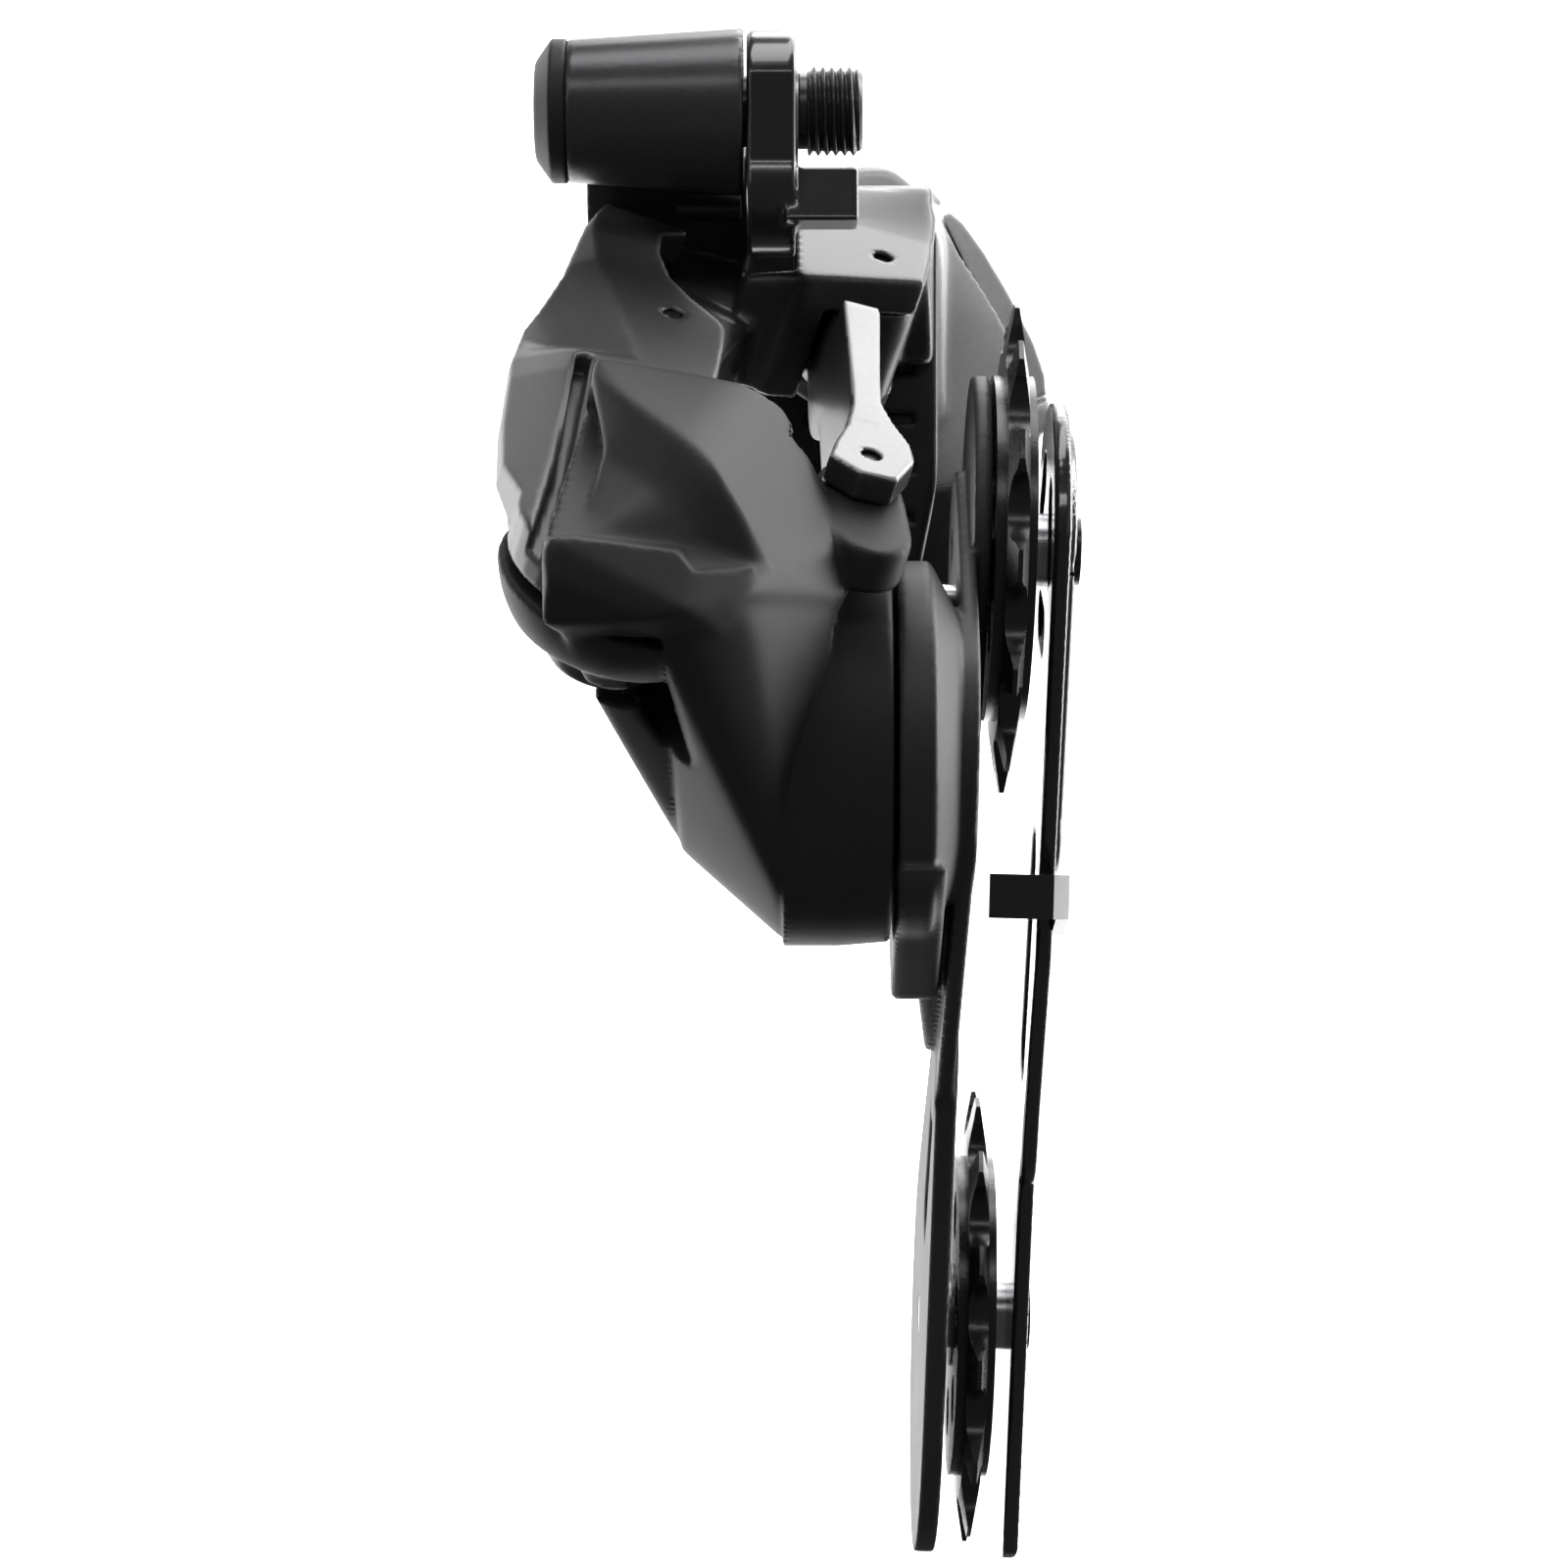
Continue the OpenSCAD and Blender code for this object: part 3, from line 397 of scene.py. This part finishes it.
# ------------------------------------------------------------------ outer link
EAR = [(-32.5, 2.4), (-23.4, 0.9), (-22.6, -0.2), (-25.6, -1.9), (-25.8, -6.9), (-24.4, -12.4), (-21.9, -16.2), (-18.6, -19.8), (-17.8, -21.5),
    (-17.9, -26), (-19.5, -45), (-18.5, -58)] + arc(P4, 12.6, 20, -190, 20) + [(-40.6, -60), (-41, -50), (-40.7, -34), (-39.5, -24.2), (-36.3, -14.4), (-34.6, -4)]
def pw(pts, w): return [(a, b, w) for a, b in pts]
h_side = hull(pw([(-31, -6), (-31, -54), (-39.8, -54), (-40.8, -34), (-39.5, -24), (-36, -12)], -8.7)
    + pw([(-31, -10), (-31, -50), (-37.4, -48), (-38.4, -40), (-38.6, -26), (-38.2, -12)], -20.1), 0.7)
h_ear1 = hull(wring(P1, -20.2, 5) + wring(P1, -16.3, 5) + [(a, b, c) for a in (-38, -30) for b in (-34, -16) for c in (-20.2, -16.3)], 0.4)
h_ear4 = hull(wring(P4, -20.2, 6) + wring(P4, -16.4, 6) + [(a, b, c) for a in (-37, -28) for b in (-54, -46) for c in (-20.2, -16.4)], 0.4)
h_back = hull([(a, b, c) for a in (-36, -28) for b in (-50, -20) for c in (-20.2, -16.2)] + [(a, b, c) for a in (-24, -22) for b in (-45, -25) for c in (-20.2, -16.3)], 0.4)
EDGE = [(-33.2, 8), (-33.0, 2.1), (-33.4, -5.9), (-32.7, -12.4), (-30.4, -20.4), (-28.1, -29.8), (-27.4, -34.6), (-33.4, -35.6), (-34.3, -40), (-36.1, -63.6), (-37.4, -80), (-37.5, -92)]
def outer(P):
    f = slab(P, EAR, -8.6, -3, 0.45)
    u, v = P[:, 0], P[:, 1]
    left = poly(u, v, EDGE + [(-70, -92), (-70, 8)])
    d = np.where(left < 0, line_dist(u, v, EDGE), 0)
    drop = 0.42 * d + 0.03 * d * d
    drop = 5.0 - np.log1p(np.exp(np.clip(5.0 - drop, -30, 30)))
    drop = np.maximum(drop, 0)
    f = smax(f, (P[:, 2] + 3.0 + drop) * 0.8, 0.35)
    # a soft bevel along the outboard edge of the front ear
    f = smin(f, h_side(P), 1.2)
    r = np.minimum(np.minimum(h_ear1(P), h_ear4(P)), h_back(P))
    f = smin(f, r, 1.0)
    f = cut(f, wcyl(P, P1, -16.3, -7.5, 7.2), 0.2)
    f = cut(f, box(P, (-31.1, -28, -16.3), (-1.1, 32, -7.5)), 0.3)
    f = cut(f, wcyl(P, P4, -16.4, -9.3, 14), 0.2)
    # narrow channel in the face, beside the edge of the shell that overlaps it
    f = cut(f, smax(poly(P[:, 0], P[:, 1], [(-34.3, -36.4), (-32.6, -36.0), (-33.9, -60.8), (-35.5, -80.5), (-37.2, -78.2), (-35.3, -61)]), -5.6 - P[:, 2], 0.4), 0.35)
    for c in (P1, P4):
        f = cut(f, wcyl(P, c, -30, -3.62, 2.0), 0.1)
        f = cut(f, wcyl(P, c, -5, 0, 1.15), 0.15)
    return f
piece("outer_link_arm", outer, (-43, -84, -22), (-12, 5, -1.5), 0.5, "outer_arm", "link_grey", ["outer_link"], LINK)

# ------------------------------------------------------------------ inner link
h_in = hull([(a, b, c) for a in (-4.9, -0.5) for b in (-20, -3) for c in (-15, -5)] + [(a, b, c) for a in (-4.2, -1.2) for b in (-24, -20) for c in (-12, -4)], 0.4)
h_in3 = hull(wring(P3, -11.9, 4.4) + wring(P3, -9, 4.4) + [(a, b, c) for a in (-4.1, -1.1) for b in (-42, -40) for c in (-11.9, -9)], 0.3)
ARM = [(-4.9, -14), (-0.6, -14), (-1.0, -30), (-0.9, -36), (0.4, -40), (2.2, -44), (2.6, -47.5), (0.5, -52.6), (-3.4, -53), (-6.9, -50.6), (-6.2, -47), (-5, -43), (-4.2, -38), (-4.1, -34)]
def inner(P):
    f = wcyl(P, P2, -16.5, -4.5, 5.6, 0.4)
    f = smin(f, h_in(P), 1.0)
    f = smin(f, slab(P, ARM, -3.5, 0, 0.45), 0.3)
    f = smin(f, slab(P, [(-4.9, -13), (-0.6, -13), (-1.1, -41.5), (-4.1, -41.5)], -11.9, -0.1, 0.5), 0.3)
    f = smin(f, h_in3(P), 0.6)
    f = cut(f, wcyl(P, P3, -9, -3.5, 5.7), 0.15)
    f = cut(f, wcyl(P, P2, -30, 3, 3.05), 0.15)
    f = cut(f, wcyl(P, P3, -30, -0.6, 2.0), 0.1)
    f = cut(f, wcyl(P, P3, -2, 3, 1.15), 0.15)
    return f
arm = piece("inner_link_arm", inner, (-9, -55, -18), (8, 8, 1.5), 0.4, "inner_arm", "link_light", ["inner_link"], LINK)
# faces turned toward the pin axis near the top get the pale grey as a painted highlight, dark anodised flanks
arm.data.materials.append(M["upper_alloy"])
PAX = Vector(LR[:, 2])
for pf in arm.data.polygons:
    c_ = (np.array(pf.center) * 1000 - L0) @ LR
    pf.material_index = 0 if (pf.normal @ PAX > 0.55 and c_[2] > -3.6) else 1

# ------------------------------------------------------------------ upper knuckle
def lbox(lo, size):
    return [(lo[0] + a * size[0], lo[1] + b * size[1], lo[2] + c * size[2]) for a in (0, 1) for b in (0, 1) for c in (0, 1)]
def lw(pts): return [tuple(from_frame(p, LINK)) for p in pts]
ARMP = [(-13.1, -4.1), (-9.8, -10.4), (4.9, -3.9), (6, 3.5)]
hb1 = hull(ring_pts(-24.5, 7.4, 0, 0) + ring_pts(-7.5, 7.4, 0, 0) + lw(lbox((-32, 5.5, -15.5), (21, 8, 8))), 0.4)
hb2 = hull(lbox((-31, 5.5, -15.7), (22, 8, 7.9)) + wring(P1, -15.7, 6.4) + wring(P1, -8, 6.4), 0.4)
hb3 = hull(lbox((-22, -4, -15.7), (8, 18, 8)) + pw(ARMP + [(6.3, 14), (-10, 16)], -16.4) + pw(ARMP + [(6.3, 14), (-10, 16)], 0), 0.35)
hb4 = hull(wring((0, 3), -20.2, 6.6) + wring((0, 3), -10, 6.6) + lbox((-10, 4, -20), (10, 9, 10)), 0.4)
hb5 = hull(lw(lbox((-9, 8, -18), (15, 9, 17))) + lbox((4.5, 27, -26), (12, 3, 22)), 0.5)
def upper(P):
    L = to_frame(P, LINK)
    f = smin(hb1(P), hb2(L), 2.0)
    f = smin(f, smin(hb3(L), hb4(L), 1.5), 2.0)
    f = smin(f, hb5(P), 2.0)
    keep = np.minimum(box(L, (-60, -60, -7.8), (-15.5, 5, 6.2)), box(L, (-60, -60, -9.3), (-30.8, 4.5, -3.3)))
    keep = np.minimum(keep, box(L, (-60, -60, -21), (-15.5, -12, -16.1)))
    keep = np.minimum(keep, wcyl(L, P2, -16.8, -4.2, 6.1))
    keep = np.minimum(keep, box(L, (-6, -40, -16.8), (26, -2, -4.2)))
    keep = np.minimum(keep, box(L, (-2, -20, -16.8), (28, 4, -4.2)))
    keep = np.minimum(keep, box(L, (-7, -60, -16.8), (23, -11.5, 13.2)))
    f = cut(f, keep, 0.3)
    f = cut(f, xcyl(P, -40, 13.7, 9.6), 0.3)
    f = cut(f, box(P, (-6.2, -30, -17.6), (-0.1, 11, 12.4)), 0.3)
    f = smin(f, xcyl(P, -26.1, -6.2, 8.0, r2=9.3, k=0.35), 1.6)
    f = cut(f, box(P, (-6.2, -11, -17.6), (-0.1, 11, 12.4)))
    f = smin(f, smax(slab(L, ARMP + [(6.3, 12), (-10, 13)], -4.2, 0, 0.5), box(P, (0, -50, -50), (60, 50, -10)), 0.3), 0.5)
    f = cut(f, wcyl(L, P2, -2, 4, 1.15), 0.15)
    f = np.maximum(f, P[:, 1] - 29.98)
    f = cut(f, xcyl(P, -27, -4.3, 5.3))
    f = cut(f, wcyl(L, P2, -30, -0.6, 2.0))
    f = cut(f, wcyl(L, P1, -30, -1, 3.05))
    f = cut(f, xcyl(P, -14.02, 2, 1.52, 10, -9.5))
    return f
piece("upper_body", upper, (-30, -22, -45), (20, 31.5, 12), 0.5, "upper_knuckle", "upper_alloy", ["b_knuckle"])

def stopp(P):
    y, z = P[:, 1], P[:, 2]
    two = cap2(y, z, (0, 0), 9.1, (-1.5, -9.3), 7.4)
    f = smax(two, np.maximum(-5.8 - P[:, 0], P[:, 0] + 0.3), 0.7)
    tab = smax(poly(y, z, [(-7, -7.4), (-1.3, -7.4), (-1.3, -13.6), (-9.5, -13.6)]), np.maximum(-1.5 - P[:, 0], P[:, 0] - 6.7), 0.6)
    f = smin(f, tab, 0.9)
    return cut(f, xcyl(P, -7, 1, 4.06), 0.2)
piece("stop_plate_body", stopp, (-7, -11, -18.5), (8, 11, 11), 0.3, "hanger_side", "plate_black", ["stop_plate"])

def bolt(P):
    x, y, z = P[:, 0], P[:, 1], P[:, 2]
    r = np.sqrt(y * y + z * z); th = np.arctan2(z, y) / (2 * math.pi)
    ph = (x - th) % 1.0
    tri = np.abs(ph - 0.5) * 2                       # 0 at the crest, 1 at the root
    rt = 5.0 - 0.62 * np.clip((tri - 0.1) / 0.9, 0, 1)
    rt = np.minimum(rt, 5.0 - np.maximum(x - 6.4, 0) * 1.0)
    rt = np.where(x < 1.1, 4.25, rt)
    f = (r - rt) * 0.75
    f = np.maximum(f, x - 7.28)
    f = np.where(x < 0, np.maximum(r - 4.0, -1 - x), f)
    f = cut(f, np.maximum(r - 2.2, 6.3 - x), 0.3)
    return f
piece("bolt_thread", bolt, (-0.9, -5.6, -5.6), (7.7, 5.6, 5.6), 0.17, "hanger_side", "bolt_black", ["b_bolt"])
def bolt_head(P):
    y, z = P[:, 1], P[:, 2]
    f = np.minimum(xcyl(P, -26.6, -0.5, 4), xcyl(P, -28.6, -26.4, 5.6, k=0.4))
    hx = np.maximum(np.maximum(np.abs(y), np.abs(y * 0.5 + z * 0.866)), np.abs(y * 0.5 - z * 0.866)) - 2.5
    return cut(f, np.maximum(hx, P[:, 0] + 25.2), 0.2)
piece("bolt_head", bolt_head, (-29.4, -6.4, -6.4), (0, 6.4, 6.4), 0.3, "hanger_side", "bolt_black", [])
def capp(P):
    f = smin(xcyl(P, -27.9, -26.1, 8.1, k=0.3), xcyl(P, -29.7, -27.85, 5.5, r2=8.1, k=0.3), 0.15)
    f = cut(f, xcyl(P, -28.7, -20, 5.7))
    return cut(f, xcyl(P, -31, -20, 3.6), 0.3)
piece("barrel_cap", capp, (-30.5, -9, -9), (-25.4, 9, 9), 0.3, "upper_knuckle", "lower_black", ["b_cap"])

# ------------------------------------------------------------------ battery side
def ys(pts, y0, y1): return [(a, y, c) for a, c in pts for y in (y0, y1)]
BP = [(6.5, -38), (6.5, 1.5), (12, 1.5), (16, 0), (18.1, -3.5), (21.2, -6.3), (29.8, -20.8), (32, -27.6), (31.6, -31), (29.5, -34.5), (14, -41)]
hh1 = hull(ys(BP, 49, 65) + ys([(8, -36), (8, 0), (12, 0), (27, -22), (26, -31), (15, -38)], 48, 67), 0.35)
hh2 = hull(ys([(4.5, -34), (4.5, 0), (8, 1.5), (12, 1.2), (16, -2), (18.5, -8), (18.5, -30), (12, -35)], 47, 50)
    + ys([(5, -33), (5, 0), (12, 0.8), (16, -3), (17.5, -9), (17.5, -29)], 46.02, 47), 0.35)
hh3 = hull([(26 + 1.7 * math.cos(a), y, -1.4 + 1.7 * math.sin(a)) for a in [i * math.pi / 10 for i in range(20)] for y in (-8, 8)]
    + [(a, b, c) for a in (24, 26) for b in (-8, 8) for c in (-7, -5)], 0.25)
def bcyl(P, y0, y1, x, z, r):
    return np.maximum(np.sqrt((P[:, 0] - x) ** 2 + (P[:, 2] - z) ** 2) - r, np.maximum(y0 - P[:, 1], P[:, 1] - y1))
def housing(P):
    B = to_frame(P, BATT)
    f = smin(hh1(P), hh2(P), 1.5)
    f = smin(f, hh3(B), 0.5)
    f = cut(f, box(B, (-1, -6.5, -14), (24.8, 6.5, 6)), 0.2)
    f = cut(f, box(B, (-4, -8.3, -2.3), (24, 8.3, 5.7)), 0.25)
    f = cut(f, box(B, (23.6, -4.3, -3.6), (29.6, 4.3, 4.4)), 0.25)
    f = cut(f, xcyl(P, 1.3, 10.7, 2.6, 57, -20), 0.2)
    f = cut(f, np.maximum(np.sqrt((P[:, 0] - 10) ** 2 + (P[:, 1] - 56) ** 2) - 1.6, np.abs(P[:, 2] - 1.6) - 1.5), 0.2)
    return f
piece("battery_body", housing, (2, 45, -44), (36, 69, 4), 0.45, "upper_knuckle", "housing_grey", ["battery_housing"])
DOOR = [(-2.6, -2), (-2.6, -0.9), (-0.6, 0), (4, 0.8), (10, 1.3), (17, 1.4), (21, 0.9), (23.3, 0), (23.3, -2)]
def door(P):
    f = smax(poly(P[:, 0], P[:, 2], DOOR), np.abs(P[:, 1]) - 8, 0.5)
    t = smax(poly(P[:, 0], P[:, 2], [(22.5, -2), (22.5, 0.2), (26, 0.3), (26, -2.9)]), np.abs(P[:, 1]) - 4, 0.2)
    f = smin(f, t, 0.2)
    f = smin(f, bcyl(P, -4, 4, 26, -1.4, 1.7), 0.2)
    # finger grooves across the latch end
    for i in range(4):
        f = cut(f, np.sqrt((P[:, 0] - 3.0 - i * 1.5) ** 2 + (P[:, 2] - 1.25 - i * 0.13) ** 2) - 0.45, 0.2)
    return cut(f, bcyl(P, -20, 20, 26, -1.4, 0.8))
piece("door_shell", door, (-3.6, -9, -3.8), (28.6, 9, 2.4), 0.3, "door", "housing_grey", ["battery_door"], BATT)
hc1 = hull(ys([(-2, -53), (-2, -10), (2, -6.5), (14, -6.5), (16.9, -9.5), (16.9, -40), (14, -54), (4, -57)], 30, 46), 0.3)
hc2 = hull(ys([(2, -41.3), (14.1, -41.3), (21, -38.4), (21, -54), (17, -57), (5, -57.5), (2, -53)], 45.9, 56), 0.3)
hc3 = hull(ys([(-2, -42), (-8.5, -38), (-8.5, -24), (-2, -14), (2, -14), (2, -42)], 30, 46), 0.3)
def control(P):
    f = smin(smin(hc1(P), hc3(P), 1.0), hc2(P), 0.5)
    z = P[:, 2]
    # shallow ribs across the front face
    r = np.maximum(np.abs((z + 26) - np.round((z + 26) / 6) * 6) - 0.5, np.maximum(P[:, 1] - 30.8, np.abs(P[:, 0] - 7.5) - 6.5))
    r = np.maximum(r, np.maximum(-50 - z, z + 18))
    return cut(f, r, 0.3)
piece("control_body", control, (-10, 28.8, -59), (22.5, 57.5, 3), 0.5, "upper_knuckle", "battery_black", ["control_housing"])

# ------------------------------------------------------------------ cage
GP = (23.57, 24, 23.94); TP = (23.57, 65, -70)
def plate(P, two, x0, x1, k):
    return smax(two, np.maximum(x0 - P[:, 0], P[:, 0] - x1), k)
def cage_out(P):
    W = from_frame(P, CAGE).astype(np.float32)
    y, z = P[:, 1], P[:, 2]
    f = smin(xcyl(W, 10.5, 14.4, 20.6, -15, -72.4, k=0.6), xcyl(W, 14.3, 17.6, 20.6, -15, -72.4, r2=14.5, k=0.6), 0.2)
    f = np.minimum(f, xcyl(W, 7.7, 10.7, 12.2, -15, -72.4))
    f = smin(f, h_ca(P), 0.6)
    f = smin(f, h_cb(P), 0.6)
    f = smin(f, h_cc(P), 0.8)
    f = smin(f, h_cd(P), 0.8)
    f = smin(f, h_ce(P), 0.6)
    f = smin(f, h_cf(W), 0.5)
    f = cut(f, xcyl(W, 0, 30, 5, -15, -72.4), 0.2)
    f = cut(f, xcyl(P, 10, 40, 2.5, GP[1], GP[2]), 0.2)
    f = cut(f, xcyl(P, 10, 40, 2.5, TP[1], TP[2]), 0.2)
    f = cut(f, plate(P, cap2(y, z, (40, -43), 3, (52, -56), 3.4), 10, 30, 0), 0.5)
    return f
h_ca = hull(ring_pts(17.2, 15, 0, 0) + ring_pts(19.1, 15, 0, 0) + ring_pts(17.2, 9, 24, 23.94) + ring_pts(19.1, 9, 24, 23.94), 0.15)
h_cb = hull(ring_pts(18.9, 19, 25, 24.94) + ring_pts(20.8, 19, 25, 24.94) + ring_pts(18.9, 12, 33, 3.94) + ring_pts(20.8, 12, 33, 3.94), 0.15)
h_cc = hull(ring_pts(17.2, 14, 2, -4) + ring_pts(19.1, 14, 2, -4) + ring_pts(17.2, 7, 34, -36) + ring_pts(19.1, 7, 34, -36), 0.15)
h_cd = hull(ring_pts(17.2, 7, 34, -36) + ring_pts(19.6, 7, 34, -36) + ring_pts(17.2, 25.5, 65, -74, 64) + ring_pts(19.6, 25.5, 65, -74, 64), 0.15)
h_ce = hull(ring_pts(12.6, 4.5, 5, -17) + ring_pts(17.4, 4.5, 5, -17) + ring_pts(15.2, 3, 30, -32) + ring_pts(17.4, 3, 30, -32), 0.3)
h_cf = hull([(x, a, b) for x in (10.5, 15.6) for a, b in [(-33, -85), (-12, -94), (-3.5, -100.5), (3, -96), (5, -84)]], 0.3)
piece("cage_outer_body", cage_out, (6.5, -25, -102), (22.5, 93, 46), 0.6, "cage", "cage_satin", ["cage_outer_plate"], CAGE)
IX = 27.9
def cage_in(P):
    y, z = P[:, 1], P[:, 2]
    two = np.minimum(cap2(y, z, (GP[1], GP[2]), 17, (30, -20), 9), cap2(y, z, (30, -20), 9, (44, -44), 7))
    two = smin(two, cap2(y, z, (44, -44), 7, (65, -74), 26), 3.0)
    f = plate(P, two, IX, IX + 1.9, 0.5)
    rim = cap2(y, z, (GP[1], GP[2]), 14, (28, -8), 6)
    f = smin(f, plate(P, rim, IX + 1, IX + 2.8, 0.9), 0.4)
    f = cut(f, xcyl(P, 20, 40, 2.5, GP[1], GP[2]), 0.2)
    f = cut(f, xcyl(P, 20, 40, 2.5, TP[1], TP[2]), 0.2)
    f = cut(f, plate(P, cap2(y, z, (30, -12), 4, (41, -35), 3.6), 20, 40, 0), 0.5)
    for a in (30, 150, 270):
        q = [(GP[1] + 9.4 * math.cos(math.radians(a + d)), GP[2] + 9.4 * math.sin(math.radians(a + d))) for d in (0, 40)]
        f = cut(f, plate(P, cap2(y, z, q[0], 2.6, q[1], 2.599), 20, 40, 0), 0.5)
    return f
piece("cage_inner_body", cage_in, (26.8, 4, -102), (32, 93, 43), 0.5, "cage", "plate_black", ["cage_inner_plate"], CAGE)

# ------------------------------------------------------------------ stage
def sweep():
    bm = bmesh.new()
    prof = [(0.12, -0.2), (0.55, -0.2)]
    for i in range(1, 13):
        a = math.radians(90 * i / 12)
        prof.append((0.55 + 0.35 * math.sin(a), -0.2 + 0.35 * (1 - math.cos(a))))
    prof.append((0.9, 1.4))
    rows = [[bm.verts.new((x, y, z)) for y, z in prof] for x in (-2.2, 2.2)]
    for i in range(len(prof) - 1):
        bm.faces.new((rows[0][i], rows[1][i], rows[1][i + 1], rows[0][i + 1]))
    me = D.meshes.new("floor"); bm.to_mesh(me); bm.free()
    for p in me.polygons: p.use_smooth = True
    o = D.objects.new("floor", me); scene.collection.objects.link(o)
    m = D.materials.new("pale_floor"); m.use_nodes = True
    nt = m.node_tree; b = nt.nodes["Principled BSDF"]
    n = nt.nodes.new("ShaderNodeTexNoise"); n.inputs["Scale"].default_value = 30
    r = nt.nodes.new("ShaderNodeValToRGB")
    r.color_ramp.elements[0].color = (0.86, 0.86, 0.865, 1); r.color_ramp.elements[1].color = (0.9, 0.9, 0.905, 1)
    nt.links.new(n.outputs["Fac"], r.inputs["Fac"]); nt.links.new(r.outputs["Color"], b.inputs["Base Color"])
    b.inputs["Roughness"].default_value = 0.9
    b.inputs["Emission Color"].default_value = (1, 1, 1, 1)
    b.inputs["Emission Strength"].default_value = 1.0
    me.materials.append(m)
sweep()

def area(name, loc, target, size, power, sy=None, color=(1, 1, 1)):
    l = D.lights.new(name, "AREA"); l.shape = "RECTANGLE"; l.size = size; l.size_y = sy or size
    l.energy = power; l.color = color
    o = D.objects.new(name, l); o.location = loc
    d = Vector(target) - Vector(loc)
    o.rotation_euler = d.to_track_quat("-Z", "Y").to_euler()
    scene.collection.objects.link(o)
    return o
c = (0, 0, -0.08)
area("top_soft", (0.05, -0.05, 0.85), c, 0.7, 4.5, 0.4)
area("front_strip", (0.0, -0.72, 0.50), c, 0.9, 1.3, 0.05)
area("rear_top", (0.3, 0.42, 0.6), c, 0.8, 5.0, 0.5)
area("left_rim", (-0.68, 0.48, 0.05), c, 0.5, 4.5, 0.9)
area("right_rim", (0.75, 0.3, 0.12), c, 0.4, 10, 0.9)
area("left_front", (-0.6, -0.6, 0.4), c, 0.6, 1.0, 0.6)
area("right_front", (0.75, -0.45, 0.2), c, 0.4, 0.35, 0.8)
scene.view_settings.view_transform = "Standard"
w = D.worlds.new("world"); scene.world = w; w.use_nodes = True
w.node_tree.nodes["Background"].inputs["Color"].default_value = (1, 1, 1, 1)
w.node_tree.nodes["Background"].inputs["Strength"].default_value = 0.12
